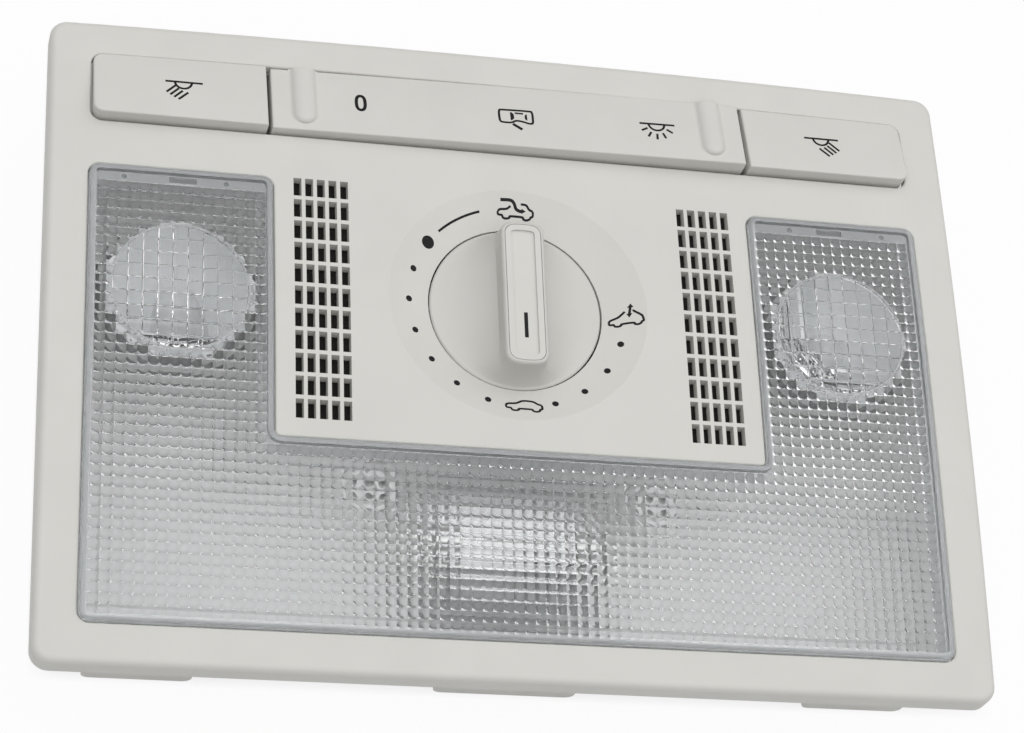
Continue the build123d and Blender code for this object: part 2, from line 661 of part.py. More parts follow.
TOWER_Y = PANEL_Y0 - LENS_WALL - TOWER_IN
for side in (-1, 1):
    tub += rod(TOWER_R, side * TOWER_X, TOWER_Y, -TUB_DEPTH, TOWER_TOP_Z)
for bx, by in boss_spots:
    tub += rod(BOSS_SLEEVE_R, bx, by, -TUB_DEPTH, BOSS_Z)
BOARD_Z0 = BOARD_TOP_Z - BOARD_T
BOARD_Y0 = HIGH_BOSS_Y + BOSS_SLEEVE_R + BOARD_FRONT
POST_Y = BOARD_Y0 + POST_IN
OUTER_POST_X = READING_X + OUTER_POST_OUT
INNER_POST_X = ROCKER_FINGER_X - INNER_POST_IN
post_spots = [(s * px, POST_Y) for s in (-1, 1) for px in (OUTER_POST_X, INNER_POST_X)]
for px, py in post_spots:
    tub += rod(POST_R, px, py, -TUB_DEPTH, BOARD_Z0)
    tub += rod(STAKE_R, px, py, BOARD_Z0 - BOARD_T, BOARD_TOP_Z + STAKE_UP)
pedestal_w = CASE_W - 2 * PEDESTAL_IN
pedestal_plan = Rectangle(pedestal_w, pedestal_w)
pedestal_plan -= Rectangle(pedestal_w - 2 * TUB_WALL, pedestal_w - 2 * TUB_WALL)
tub += prism(Pos(0, KNOB_Y) * pedestal_plan, -TUB_DEPTH, CASE_Z0)
DOME_Y = (PANEL_Y0 + LENS_Y0) / 2 + DOME_SHIFT
DOME_Z = FLOOR_Z + DOME_UP
PLATE_Z = DOME_Z - PLATE_UNDER
PLATE_HALF = STRIP_H / 2 - DOME_SHIFT - LENS_WALL - PLATE_EDGE_GAP
PLATE_R = (PLATE_HALF**2 + PLATE_RISE**2) / (2 * PLATE_RISE)
plate_bend = rod_x(PLATE_R + PLATE_T, -HALF_W, HALF_W, DOME_Y, PLATE_Z + PLATE_R)
for side in (-1, 1):
    post = rod(PLATE_POST_R, side * PLATE_POST_X, DOME_Y, -TUB_DEPTH, PLATE_Z)
    tub += post - plate_bend
for side in (-1, 1):
    tub -= rod(TOWER_HOLE_R, side * TOWER_X, TOWER_Y, LOW, HIGH)
for bx, by in boss_spots:
    tub -= rod(SCREW_R + SCREW_CLEAR, bx, by, LOW, HIGH)
    tub -= rod(SCREW_HEAD_R + SCREW_CLEAR, bx, by, LOW, BOSS_Z - SCREW_FLOOR)
SOCKET_Y = BOARD_Y0 + SOCKET_IN
socket_hole = Pos(0, SOCKET_Y) * Rectangle(SOCKET_W + 2 * SOCKET_GAP, SOCKET_D + 2 * SOCKET_GAP)
tub -= prism(socket_hole, LOW, BOARD_Z0)

head_z = BOSS_Z - SCREW_FLOOR
screw_end = BOSS_Z + SCREW_BITE - SCREW_END_GAP
screw_parts = []
for bx, by in boss_spots:
    shank = rod(SCREW_R - SCREW_BITE_GAP, bx, by, head_z - SCREW_HEAD_T / 2, screw_end)
    screw_parts.append(shank + rod(SCREW_HEAD_R, bx, by, head_z - SCREW_HEAD_T, head_z))
screws = Compound(children=screw_parts)

# Reading lamps
HOLDER_Z1 = FLOOR_Z + HOLDER_H
holders = []
bulbs = []
bowls = []
for side in (-1, 1):
    at = Pos(side * READING_X, READING_CY, 0)
    holder = rod(HOLDER_R, 0, 0, FLOOR_Z, HOLDER_Z1)
    slot = Rectangle(WEDGE_W + 2 * WEDGE_GAP, WEDGE_T + 2 * WEDGE_GAP)
    holder -= prism(slot, HOLDER_Z1 - WEDGE_L, HIGH)
    bulb = rod(BULB_R, 0, 0, HOLDER_Z1, HOLDER_Z1 + BULB_L)
    bulb = fillet(bulb.edges().sort_by(Axis.Z)[-1:], BULB_R * 0.94)
    bulb += prism(Rectangle(WEDGE_W, WEDGE_T), HOLDER_Z1 - WEDGE_L, HOLDER_Z1 + WEDGE_T)
    mid_r = BOWL_TOP_R - BOWL_SWELL
    mid_z = HOLDER_Z1 + BOWL_H / 2
    rim_z = HOLDER_Z1 + BOWL_H
    inside = Spline((BOWL_FOOT_R, HOLDER_Z1), (mid_r, mid_z), (BOWL_TOP_R, rim_z))
    back = BOWL_T
    outside = Spline((BOWL_FOOT_R + back, HOLDER_Z1), (mid_r + back, mid_z), (BOWL_TOP_R + back, rim_z))
    rim = Line((BOWL_TOP_R, rim_z), (BOWL_TOP_R + BOWL_T, rim_z))
    foot = Line((BOWL_FOOT_R, HOLDER_Z1), (BOWL_FOOT_R + BOWL_T, HOLDER_Z1))
    bowl = revolve(Plane.XZ * make_face(Curve() + [inside, rim, outside, foot]), Axis.Z)
    holders.append(at * holder)
    bulbs.append(at * bulb)
    bowls.append(at * bowl)

# Festoon dome lamp between two spring contacts, over a bright plate
dome_half = DOME_GLASS_L / 2
dome_bulb = rod_x(DOME_GLASS_R, -dome_half, dome_half, DOME_Y, DOME_Z)
cap_parts = []
contacts = []
for side in (-1, 1):
    a, b = sorted((side * dome_half, side * (dome_half + DOME_CAP_L)))
    shell = rod_x(DOME_CAP_R, a, b, DOME_Y, DOME_Z)
    rim_edge = shell.edges().filter_by(GeomType.CIRCLE).sort_by(Axis.X)
    shell = chamfer([rim_edge[-1] if side > 0 else rim_edge[0]], (DOME_CAP_R - DOME_TIP_R) * 0.85)
    a, b = sorted((side * dome_half, side * (dome_half + DOME_CAP_L + DOME_TIP_L)))
    cap_parts.append(shell + rod_x(DOME_TIP_R, a, b, DOME_Y, DOME_Z))
    near = dome_half + DOME_CAP_L
    a, b = sorted((side * near, side * (near + CONTACT_T)))
    blade = box(a, b, DOME_Y - CONTACT_W / 2, DOME_Y + CONTACT_W / 2, FLOOR_Z, DOME_Z + CONTACT_W / 2)
    blade = fillet(blade.edges().filter_by(Axis.X).sort_by(Axis.Z)[-2:], CONTACT_W * 0.48)
    a, b = sorted((side * near, side * (near + CONTACT_FOOT)))
    blade += box(a, b, DOME_Y - CONTACT_W / 2, DOME_Y + CONTACT_W / 2, FLOOR_Z, FLOOR_Z + CONTACT_T)
    contacts.append(blade - rod_x(DOME_TIP_R + TIP_GAP, -HALF_W, HALF_W, DOME_Y, DOME_Z))
dome_caps = Compound(children=cap_parts)

swell = (PLATE_R + PLATE_T) / PLATE_R
end_y = PLATE_HALF * swell
end_z = PLATE_Z + PLATE_R + (PLATE_RISE - PLATE_R) * swell
tip_z = PLATE_Z + PLATE_RISE
bright = ThreePointArc((DOME_Y - PLATE_HALF, tip_z), (DOME_Y, PLATE_Z), (DOME_Y + PLATE_HALF, tip_z))
under = ThreePointArc((DOME_Y - end_y, end_z), (DOME_Y, PLATE_Z - PLATE_T), (DOME_Y + end_y, end_z))
front_lip = Line((DOME_Y - PLATE_HALF, tip_z), (DOME_Y - end_y, end_z))
back_lip = Line((DOME_Y + PLATE_HALF, tip_z), (DOME_Y + end_y, end_z))
plate_x = dome_half + DOME_CAP_L - PLATE_END_GAP
plate_face = make_face(Curve() + [bright, back_lip, under, front_lip])
dome_reflector = extrude(Plane.YZ.offset(-plate_x) * plate_face, 2 * plate_x)

# Circuit board, push switches and their plungers
BOARD_HALF_W = TUB_X - TUB_WALL - BOARD_GAP
board = box(-BOARD_HALF_W, BOARD_HALF_W, BOARD_Y0, BOARD_Y0 + BOARD_D, BOARD_Z0, BOARD_TOP_Z)
for px, py in post_spots:
    board -= rod(STAKE_R + STAKE_GAP, px, py, LOW, HIGH)

ROCKER_SWING = ROCKER_FINGER_X * sin(radians(ROCKER_TILT_DEG))
stations = [
    ("reading_left", -READING_X, reading_finger_y, 0.0),
    ("reading_right", READING_X, reading_finger_y, 0.0),
    ("rocker_left", -ROCKER_FINGER_X, rocker_finger_y, -ROCKER_SWING),
    ("rocker_right", ROCKER_FINGER_X, rocker_finger_y, ROCKER_SWING),
]
plunger_w = SWITCH_W - 2 * SWITCH_WALL - 2 * PLUNGER_GAP
switches = {}
for name, sx, sy, dz in stations:
    at = Pos(sx, sy)
    body = prism(at * Rectangle(SWITCH_W, SWITCH_W), BOARD_TOP_Z, BOARD_TOP_Z + SWITCH_H)
    well = SWITCH_W - 2 * SWITCH_WALL
    body -= prism(at * Rectangle(well, well), BOARD_TOP_Z + SWITCH_FLOOR, HIGH)
    top = PLUNGER_TOP_Z + dz
    switches["switch_" + name] = body
    switches["plunger_" + name] = prism(at * Rectangle(plunger_w, plunger_w), top - PLUNGER_L, top)

# Socket for the loom, through the housing's floor
socket_plan = Pos(0, SOCKET_Y) * Rectangle(SOCKET_W, SOCKET_D)
socket = prism(socket_plan, -TUB_DEPTH, BOARD_Z0)
mouth_z = -TUB_DEPTH + SOCKET_MOUTH
socket -= prism(offset(socket_plan, -SOCKET_WALL), LOW, mouth_z)
pins = Compound(
    children=[
        Pos(0, SOCKET_Y, mouth_z - PIN_L / 2) * loc * Box(PIN_W, PIN_W, PIN_L)
        for loc in GridLocations(PIN_PITCH, PIN_ROW_PITCH, PIN_COLS, PIN_ROWS)
    ]
)

# Spring clips on the housing's sides
clips = []
for side in (-1, 1):
    base = TUB_X
    top = -CLIP_DROP
    low = -CLIP_DROP - CLIP_H
    pts = [
        (base, top),
        (base, low),
        (base + CLIP_T, low),
        (base + CLIP_OUT, low + CLIP_H * 0.6),
        (base + CLIP_OUT - CLIP_T, low + CLIP_H * 0.7),
        (base + CLIP_T, low + CLIP_T * 3),
        (base + CLIP_T, top),
    ]
    face = make_face(Polyline(*[(side * x, z) for x, z in pts], close=True))
    clips.append(extrude(Plane.XZ.offset(-CLIP_W / 2) * face, CLIP_W))

# Write the pieces
os.makedirs("parts", exist_ok=True)
pieces = {
    "bezel": bezel,
    "lens": lens,
    "reading_button_left": buttons[0],
    "reading_button_right": buttons[1],
    "dome_rocker": rocker,
    "sunroof_knob": knob,
    "knob_cap": knob_cap,
    "knob_pointer": knob_pointer,
    "knob_spindle": spindle,
    "rotary_case": rotary_case,
    "rotary_cover": rotary_cover,
    "lamp_housing": tub,
    "housing_screws": screws,
    "bulb_holder_left": holders[0],
    "bulb_holder_right": holders[1],
    "reading_bulb_left": bulbs[0],
    "reading_bulb_right": bulbs[1],
    "reading_reflector_left": bowls[0],
    "reading_reflector_right": bowls[1],
    "dome_bulb": dome_bulb,
    "dome_bulb_caps": dome_caps,
    "dome_contact_left": contacts[0],
    "dome_contact_right": contacts[1],
    "dome_reflector": dome_reflector,
    "circuit_board": board,
    "connector_shell": socket,
    "connector_pins": pins,
    "retaining_clip_left": clips[0],
    "retaining_clip_right": clips[1],
    "grille_mesh_left": meshes[0],
    "grille_mesh_right": meshes[1],
}
pieces.update(switches)
for node, shape in pieces.items():
    export_step(shape, "parts/" + node + ".step")
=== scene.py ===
import bmesh
import bpy
import math
from mathutils import Matrix, Vector


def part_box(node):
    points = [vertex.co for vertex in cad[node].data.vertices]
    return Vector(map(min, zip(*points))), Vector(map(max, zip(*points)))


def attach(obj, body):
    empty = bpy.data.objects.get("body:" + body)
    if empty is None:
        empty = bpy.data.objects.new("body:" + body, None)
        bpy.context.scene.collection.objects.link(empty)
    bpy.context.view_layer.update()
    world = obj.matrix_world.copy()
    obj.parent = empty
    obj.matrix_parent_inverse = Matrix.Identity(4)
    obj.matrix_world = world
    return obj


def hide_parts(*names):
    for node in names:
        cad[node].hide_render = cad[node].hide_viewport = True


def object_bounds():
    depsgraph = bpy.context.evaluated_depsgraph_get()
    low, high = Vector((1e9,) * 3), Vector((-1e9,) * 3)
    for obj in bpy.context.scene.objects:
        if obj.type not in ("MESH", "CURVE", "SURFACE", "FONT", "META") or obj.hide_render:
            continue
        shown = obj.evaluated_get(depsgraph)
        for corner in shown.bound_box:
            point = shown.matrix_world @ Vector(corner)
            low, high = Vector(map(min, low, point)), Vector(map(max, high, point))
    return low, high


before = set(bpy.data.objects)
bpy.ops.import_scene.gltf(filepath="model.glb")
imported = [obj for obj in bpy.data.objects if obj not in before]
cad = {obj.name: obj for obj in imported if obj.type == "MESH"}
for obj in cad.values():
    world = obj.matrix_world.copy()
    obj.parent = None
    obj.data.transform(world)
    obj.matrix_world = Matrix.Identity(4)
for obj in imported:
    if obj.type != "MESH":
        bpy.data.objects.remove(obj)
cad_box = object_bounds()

# Rear housing: a white tub of matt ABS, moulded in one shot with its lamp chamber,
# towers and posts. It slides into the back of the panel and four screws hold it.
MM = 0.001


def srgb(red, green, blue):
    def linear(level):
        level /= 255.0
        return level / 12.92 if level <= 0.04045 else ((level + 0.055) / 1.055) ** 2.4
    return (linear(red), linear(green), linear(blue), 1.0)


def new_material(name):
    mat = bpy.data.materials.new(name)
    mat.use_nodes = True
    tree = mat.node_tree
    tree.nodes.clear()
    out = tree.nodes.new("ShaderNodeOutputMaterial")
    bsdf = tree.nodes.new("ShaderNodeBsdfPrincipled")
    tree.links.new(bsdf.outputs["BSDF"], out.inputs["Surface"])
    where = tree.nodes.new("ShaderNodeTexCoord").outputs["Object"]
    return mat, tree, bsdf, where


def noise(tree, where, size_mm, detail=2.0):
    tex = tree.nodes.new("ShaderNodeTexNoise")
    tex.inputs["Scale"].default_value = 1.0 / (size_mm * MM)
    tex.inputs["Detail"].default_value = detail
    tree.links.new(where, tex.inputs["Vector"])
    return tex.outputs["Fac"]


def two_tone(tree, fac, first, second, low=0.3, high=0.7):
    ramp = tree.nodes.new("ShaderNodeValToRGB")
    for stop, at, colour in zip(ramp.color_ramp.elements, (low, high), (first, second)):
        stop.position = at
        stop.color = colour
    tree.links.new(fac, ramp.inputs["Fac"])
    return ramp.outputs["Color"]


def spread(tree, fac, low, high):
    span = tree.nodes.new("ShaderNodeMapRange")
    span.inputs["To Min"].default_value = low
    span.inputs["To Max"].default_value = high
    tree.links.new(fac, span.inputs["Value"])
    return span.outputs["Result"]


def relief(tree, bsdf, fac, depth_mm):
    bump = tree.nodes.new("ShaderNodeBump")
    bump.inputs["Distance"].default_value = depth_mm * MM
    tree.links.new(fac, bump.inputs["Height"])
    tree.links.new(bump.outputs["Normal"], bsdf.inputs["Normal"])


def moulded(name, first, second, rough, grain_mm, depth_mm, mottle_mm=14.0):
    # moulded plastic: an even colour with a slow drift and a fine eroded grain
    mat, tree, bsdf, where = new_material(name)
    drift = noise(tree, where, mottle_mm)
    grain = noise(tree, where, grain_mm, 3.0)
    tree.links.new(two_tone(tree, drift, first, second), bsdf.inputs["Base Color"])
    tree.links.new(spread(tree, grain, rough - 0.06, rough + 0.06), bsdf.inputs["Roughness"])
    relief(tree, bsdf, grain, depth_mm)
    return mat


def dress(mat, *names):
    for name in names:
        for place in cad[name].material_slots:
            place.material = mat


white_plastic = moulded("white_plastic", srgb(248, 249, 248), srgb(250, 250, 250), 0.5, 0.5, 0.004)
dress(white_plastic, "lamp_housing")

# Dome lamp: a festoon bulb of clear glass with a coiled filament. Its tinned caps snap
# between two tinned springs, over a bright bent plate that throws the light outwards.


def metal(name, first, second, rough, grain_mm, stretch=(1.0, 1.0, 1.0)):
    # drawn or coated metal: streaks along the rolling direction
    mat, tree, bsdf, where = new_material(name)
    turn = tree.nodes.new("ShaderNodeMapping")
    turn.inputs["Scale"].default_value = stretch
    tree.links.new(where, turn.inputs["Vector"])
    streak = noise(tree, turn.outputs["Vector"], grain_mm, 3.0)
    tree.links.new(two_tone(tree, streak, first, second), bsdf.inputs["Base Color"])
    tree.links.new(spread(tree, streak, rough * 0.7, rough * 1.3), bsdf.inputs["Roughness"])
    bsdf.inputs["Metallic"].default_value = 1.0
    return mat


def clear(name, colour, ior, rough, wave_mm, depth_mm, share=1.0):
    # clear glass or plastic with a faint flow pattern in its surface
    mat, tree, bsdf, where = new_material(name)
    flow = noise(tree, where, wave_mm)
    bsdf.inputs["Base Color"].default_value = colour
    bsdf.inputs["Transmission Weight"].default_value = share
    bsdf.inputs["IOR"].default_value = ior
    tree.links.new(spread(tree, flow, 0.0, rough), bsdf.inputs["Roughness"])
    if depth_mm > 0:
        relief(tree, bsdf, flow, depth_mm)
    return mat


def finish_piece(name, source, mat, body, sharp_deg=30.0):
    # turn a bmesh into a finished piece that rides on its body
    mesh = bpy.data.meshes.new(name)
    source.to_mesh(mesh)
    source.free()
    mesh.materials.clear()
    mesh.materials.append(mat)
    mesh.shade_smooth()
    mesh.set_sharp_from_angle(angle=math.radians(sharp_deg))
    obj = bpy.data.objects.new(name, mesh)
    bpy.context.scene.collection.objects.link(obj)
    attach(obj, body)
    return obj


def lathe(profile, matrix, count=48):
    # a closed profile of (radius, height) in millimetres, turned about its own axis
    made = bmesh.new()
    rings = []
    for k in range(count):
        angle = 2 * math.pi * k / count
        rings.append([
            made.verts.new((r * MM * math.cos(angle), r * MM * math.sin(angle), h * MM))
            for r, h in profile
        ])
    for k in range(count):
        near, far = rings[k], rings[(k + 1) % count]
        for i in range(len(profile)):
            j = (i + 1) % len(profile)
            made.faces.new((near[i], far[i], far[j], near[j]))
    bmesh.ops.remove_doubles(made, verts=made.verts, dist=1e-7)
    bmesh.ops.recalc_face_normals(made, faces=made.faces)
    made.transform(matrix)
    return made


def new_tree(name, lengths, counts=()):
    # an empty geometry tree with named inputs, its group input and its output
    tree = bpy.data.node_groups.new(name, "GeometryNodeTree")
    for kind, labels in (("Float", lengths), ("Int", counts), ("Material", ("Material",))):
        for label in labels:
            tree.interface.new_socket(name=label, in_out="INPUT", socket_type="NodeSocket" + kind)
    tree.interface.new_socket(name="Geometry", in_out="OUTPUT", socket_type="NodeSocketGeometry")
    start = tree.nodes.new("NodeGroupInput")
    end = tree.nodes.new("NodeGroupOutput")
    return tree, start, end


def feed(tree, value, socket):
    if isinstance(value, bpy.types.NodeSocket):
        tree.links.new(value, socket)
    else:
        socket.default_value = value


def sum_of(tree, operation, *values):
    # one math node
    made = tree.nodes.new("ShaderNodeMath")
    made.operation = operation
    for value, socket in zip(values, made.inputs):
        feed(tree, value, socket)
    return made.outputs[0]


def add(tree, kind, **sockets):
    made = tree.nodes.new(kind)
    for label, value in sockets.items():
        feed(tree, value, made.inputs[label.replace("_", " ")])
    return made


def grow(tree, name, values):
    # run a geometry tree once and keep the plain mesh
    obj = bpy.data.objects.new(name, bpy.data.meshes.new(name))
    bpy.context.scene.collection.objects.link(obj)
    mod = obj.modifiers.new("shape", "NODES")
    mod.node_group = tree
    for item in tree.interface.items_tree:
        if item.in_out == "INPUT":
            mod[item.identifier] = values[item.name]
    graph = bpy.context.evaluated_depsgraph_get()
    mesh = bpy.data.meshes.new_from_object(obj.evaluated_get(graph), depsgraph=graph)
    obj.modifiers.clear()
    obj.data = mesh
    return obj


bright_metal = metal("bright_metal", srgb(206, 208, 210), srgb(222, 223, 224), 0.2, 6.0)
cap_metal = metal("cap_metal", srgb(196, 197, 196), srgb(220, 220, 218), 0.3, 1.2, (0.2, 1.0, 1.0))
brass = metal("brass", srgb(206, 170, 92), srgb(226, 196, 124), 0.32, 1.5, (1.0, 1.0, 0.15))
bulb_glass = clear("bulb_glass", (0.99, 0.99, 0.985, 1.0), 1.5, 0.03, 4.0, 0.002)
tungsten = metal("tungsten", srgb(120, 118, 114), srgb(150, 148, 144), 0.4, 0.3)
dress(bright_metal, "dome_reflector")
dress(cap_metal, "dome_bulb_caps", "dome_contact_left", "dome_contact_right")

low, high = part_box("dome_bulb")
DOME_AXIS = (low + high) / 2
dome_half = (high.x - low.x) / 2 / MM
dome_r = (high.z - low.z) / 2 / MM
GLASS_WALL = 0.6
lay = Matrix.Translation(DOME_AXIS) @ Matrix.Rotation(math.pi / 2, 4, "Y")
bore_r = dome_r - GLASS_WALL
tube = [(dome_r, -dome_half), (dome_r, dome_half), (bore_r, dome_half), (bore_r, -dome_half)]
dome_glass = finish_piece("dome_glass", lathe(tube, lay), bulb_glass, "base")
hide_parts("dome_bulb")

coil_tree, given, made_coil = new_tree("filament", ("Turns", "Coil Radius", "Length", "Wire Radius"))
spiral = add(
    coil_tree, "GeometryNodeCurveSpiral", Resolution=14, Rotations=given.outputs["Turns"],
    Start_Radius=given.outputs["Coil Radius"], End_Radius=given.outputs["Coil Radius"],
    Height=given.outputs["Length"],
)
wire = add(coil_tree, "GeometryNodeCurvePrimitiveCircle", Resolution=6, Radius=given.outputs["Wire Radius"])
swept = add(coil_tree, "GeometryNodeCurveToMesh", Curve=spiral.outputs[0], Profile_Curve=wire.outputs[0])
swept.inputs["Fill Caps"].default_value = True
whole = add(coil_tree, "GeometryNodeRealizeInstances", Geometry=swept.outputs[0])
lit = add(
    coil_tree, "GeometryNodeSetMaterial", Geometry=whole.outputs[0],
    Material=given.outputs["Material"])
coil_tree.links.new(lit.outputs[0], made_coil.inputs[0])
COIL_R, COIL_WIRE_R, LEAD_R, TURNS_PER_MM = 0.42, 0.07, 0.14, 2.2


def filament(name, length_mm, matrix, leads):
    # a coil with its two straight support wires
    obj = grow(coil_tree, name, {
        "Turns": length_mm * TURNS_PER_MM, "Coil Radius": COIL_R * MM, "Length": length_mm * MM,
        "Wire Radius": COIL_WIRE_R * MM, "Material": tungsten,
    })
    joined = bmesh.new()
    joined.from_mesh(obj.data)
    bmesh.ops.translate(joined, verts=joined.verts, vec=(0, 0, -length_mm / 2 * MM))
    for start, end in leads:
        a, b = Vector(start) * MM, Vector(end) * MM
        rod = bmesh.ops.create_cone(
            joined, cap_ends=True, segments=8, depth=(b - a).length, radius1=LEAD_R * MM,
            radius2=LEAD_R * MM)
        turn = (b - a).to_track_quat("Z", "Y").to_matrix().to_4x4()
        bmesh.ops.transform(joined, matrix=Matrix.Translation((a + b) / 2) @ turn, verts=rod["verts"])
    joined.transform(matrix)
    bpy.data.objects.remove(obj)
    return finish_piece(name, joined, tungsten, "base")


DOME_COIL, LEAD_SHORT = 15.0, 0.3
leads = [((COIL_R, 0, s * DOME_COIL / 2), (0, 0, s * (dome_half - LEAD_SHORT))) for s in (-1, 1)]
filament("dome_filament", DOME_COIL, lay, leads)

# Reading lamps: two wedge bulbs of frosted glass in ivory holders, each inside a bowl of
# dark plastic, vapour coated inside. The holders clip into the housing's floor.
black_plastic = moulded("black_plastic", srgb(34, 34, 35), srgb(40, 40, 41), 0.5, 0.4, 0.006)
bowl_plastic = moulded("bowl_plastic", srgb(92, 94, 96), srgb(102, 104, 106), 0.5, 0.4, 0.004)
satin_metal = metal("satin_metal", srgb(250, 251, 252), srgb(252, 253, 254), 0.42, 4.0)
satin_metal.node_tree.nodes["Principled BSDF"].inputs["Metallic"].default_value = 0.05
frosted_glass = moulded("frosted_glass", srgb(247, 249, 251), srgb(251, 252, 253), 0.5, 0.3, 0.004)
frosted_glass.node_tree.nodes["Principled BSDF"].inputs["Transmission Weight"].default_value = 0.25
ivory_plastic = moulded("ivory_plastic", srgb(232, 231, 224), srgb(238, 237, 231), 0.5, 0.4, 0.006)
dress(ivory_plastic, "bulb_holder_left", "bulb_holder_right")
BOWL_FOOT_R, BOWL_WALL, BOWL_SWELL, BOWL_COLLAR = 5.6, 1.0, 2.6, 5.0
COLLAR_IN, COLLAR_OUT, BOWL_STEPS = 0.3, 0.6, 12
PINCH_W, PINCH_T, PINCH_GAP, BULB_BASE = 9.0, 2.6, 0.02, 2.0
READING_COIL, COIL_UP, LEAD_TOP, LEAD_FOOT, LEAD_LONG = 3.6, 10.0, 1.8, 1.2, 7.8
for side in ("left", "right"):
    low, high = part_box("bulb_holder_" + side)
    foot = Vector(((low.x + high.x) / 2, (low.y + high.y) / 2, high.z))
    low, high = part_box("reading_reflector_" + side)
    bowl_r = (high.x - low.x) / 2 / MM - BOWL_WALL
    bowl_h = (high.z - low.z) / MM
    inside = []
    swell = 4 * (bowl_r - BOWL_SWELL - (BOWL_FOOT_R + bowl_r) / 2)
    for k in range(BOWL_STEPS + 1):
        t = k / BOWL_STEPS
        inside.append((BOWL_FOOT_R + (bowl_r - BOWL_FOOT_R) * t + swell * t * (1 - t), bowl_h * t))
    inside.append((bowl_r + COLLAR_IN, bowl_h + BOWL_COLLAR))
    outside = [(bowl_r + COLLAR_OUT, bowl_h + BOWL_COLLAR)]
    outside += [(r + BOWL_WALL, z) for r, z in reversed(inside[:-1])]
    centre = Vector(((low.x + high.x) / 2, (low.y + high.y) / 2, low.z))
    bowl = finish_piece("reading_bowl_" + side, lathe(outside + inside, Matrix.Translation(centre), 72),
                        satin_metal, "base")
    bowl.data.materials.append(bowl_plastic)
    for face in bowl.data.polygons:
        away = face.center - centre
        face.material_index = int(face.normal.x * away.x + face.normal.y * away.y > 0)
    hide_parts("reading_reflector_" + side)
    low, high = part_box("reading_bulb_" + side)
    tall = (high.z - foot.z) / MM
    bulb_r = (high.x - low.x) / 2 / MM
    stem = (foot.z - low.z) / MM
    arc = [math.radians(a) for a in range(0, 91, 15)]
    outside = [(bulb_r * math.cos(a), tall - bulb_r + bulb_r * math.sin(a)) for a in arc]
    inner_r = bulb_r - GLASS_WALL
    inside = [(inner_r * math.cos(a), tall - bulb_r + inner_r * math.sin(a)) for a in reversed(arc)]
    profile = [(0.0, 0.0), (bulb_r, 0.0)] + outside + inside + [(inner_r, BULB_BASE), (0.0, BULB_BASE)]
    envelope = lathe(profile, Matrix.Translation(foot))
    pinch = bmesh.ops.create_cube(envelope, size=1.0)
    shape = Matrix.Translation(foot - Vector((0, 0, (stem / 2 + PINCH_GAP) * MM)))
    shape @= Matrix.Diagonal((PINCH_W * MM, PINCH_T * MM, (stem - 2 * PINCH_GAP) * MM, 1.0))
    bmesh.ops.transform(envelope, matrix=shape, verts=pinch["verts"])
    glass = finish_piece("reading_glass_" + side, envelope, frosted_glass, "base")
    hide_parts("reading_bulb_" + side)
    mid = Matrix.Translation(foot + Vector((0, 0, COIL_UP * MM))) @ Matrix.Rotation(math.pi / 2, 4, "Y")
    leads = [((COIL_R, 0, s * LEAD_TOP), (LEAD_LONG, 0, s * LEAD_FOOT)) for s in (-1, 1)]
    filament("reading_filament_" + side, READING_COIL, mid, leads)

# Circuit board: green epoxy glass with etched copper under its lacquer. Four push
# switches stand on it, with white plungers that the keys press.
board, tree, bsdf, where = new_material("board_lacquer")
tracks = tree.nodes.new("ShaderNodeTexBrick")
tracks.inputs["Scale"].default_value = 1.0 / (6.0 * MM)
tracks.inputs["Color1"].default_value = srgb(24, 92, 58)
tracks.inputs["Color2"].default_value = srgb(28, 100, 64)
tracks.inputs["Mortar"].default_value = srgb(58, 136, 92)
tracks.inputs["Mortar Size"].default_value = 0.03
tree.links.new(where, tracks.inputs["Vector"])
tree.links.new(tracks.outputs["Color"], bsdf.inputs["Base Color"])
bsdf.inputs["Roughness"].default_value = 0.35
relief(tree, bsdf, tracks.outputs["Fac"], 0.02)
dress(board, "circuit_board")
for key in ("reading_left", "reading_right", "rocker_left", "rocker_right"):
    dress(black_plastic, "switch_" + key)
    dress(white_plastic, "plunger_" + key)

# Socket for the loom: a black shell with eight brass pins, soldered to the board and
# open through the housing's floor.
dress(black_plastic, "connector_shell")
dress(brass, "connector_pins")

# Sunroof selector: a black box under the dial with a clipped cover. Its white spindle
# carries the rotor and is pressed into the knob.
dress(black_plastic, "rotary_case", "rotary_cover")
dress(white_plastic, "knob_spindle")

# Front panel: pale warm grey plastic with a fine eroded grain, moulded with its dial,
# grilles and snap tongues. Black fleece glued behind the grilles keeps the dust out.
grey_plastic = moulded("grey_plastic", srgb(210, 209, 204), srgb(213, 212, 207), 0.55, 0.28, 0.006)
dress(grey_plastic, "bezel")
fleece, tree, bsdf, where = new_material("fleece")
fibre = noise(tree, where, 0.25, 4.0)
tree.links.new(two_tone(tree, fibre, srgb(10, 10, 10), srgb(32, 31, 30)), bsdf.inputs["Base Color"])
bsdf.inputs["Roughness"].default_value = 0.95
relief(tree, bsdf, fibre, 0.2)
dress(fleece, "grille_mesh_left", "grille_mesh_right")

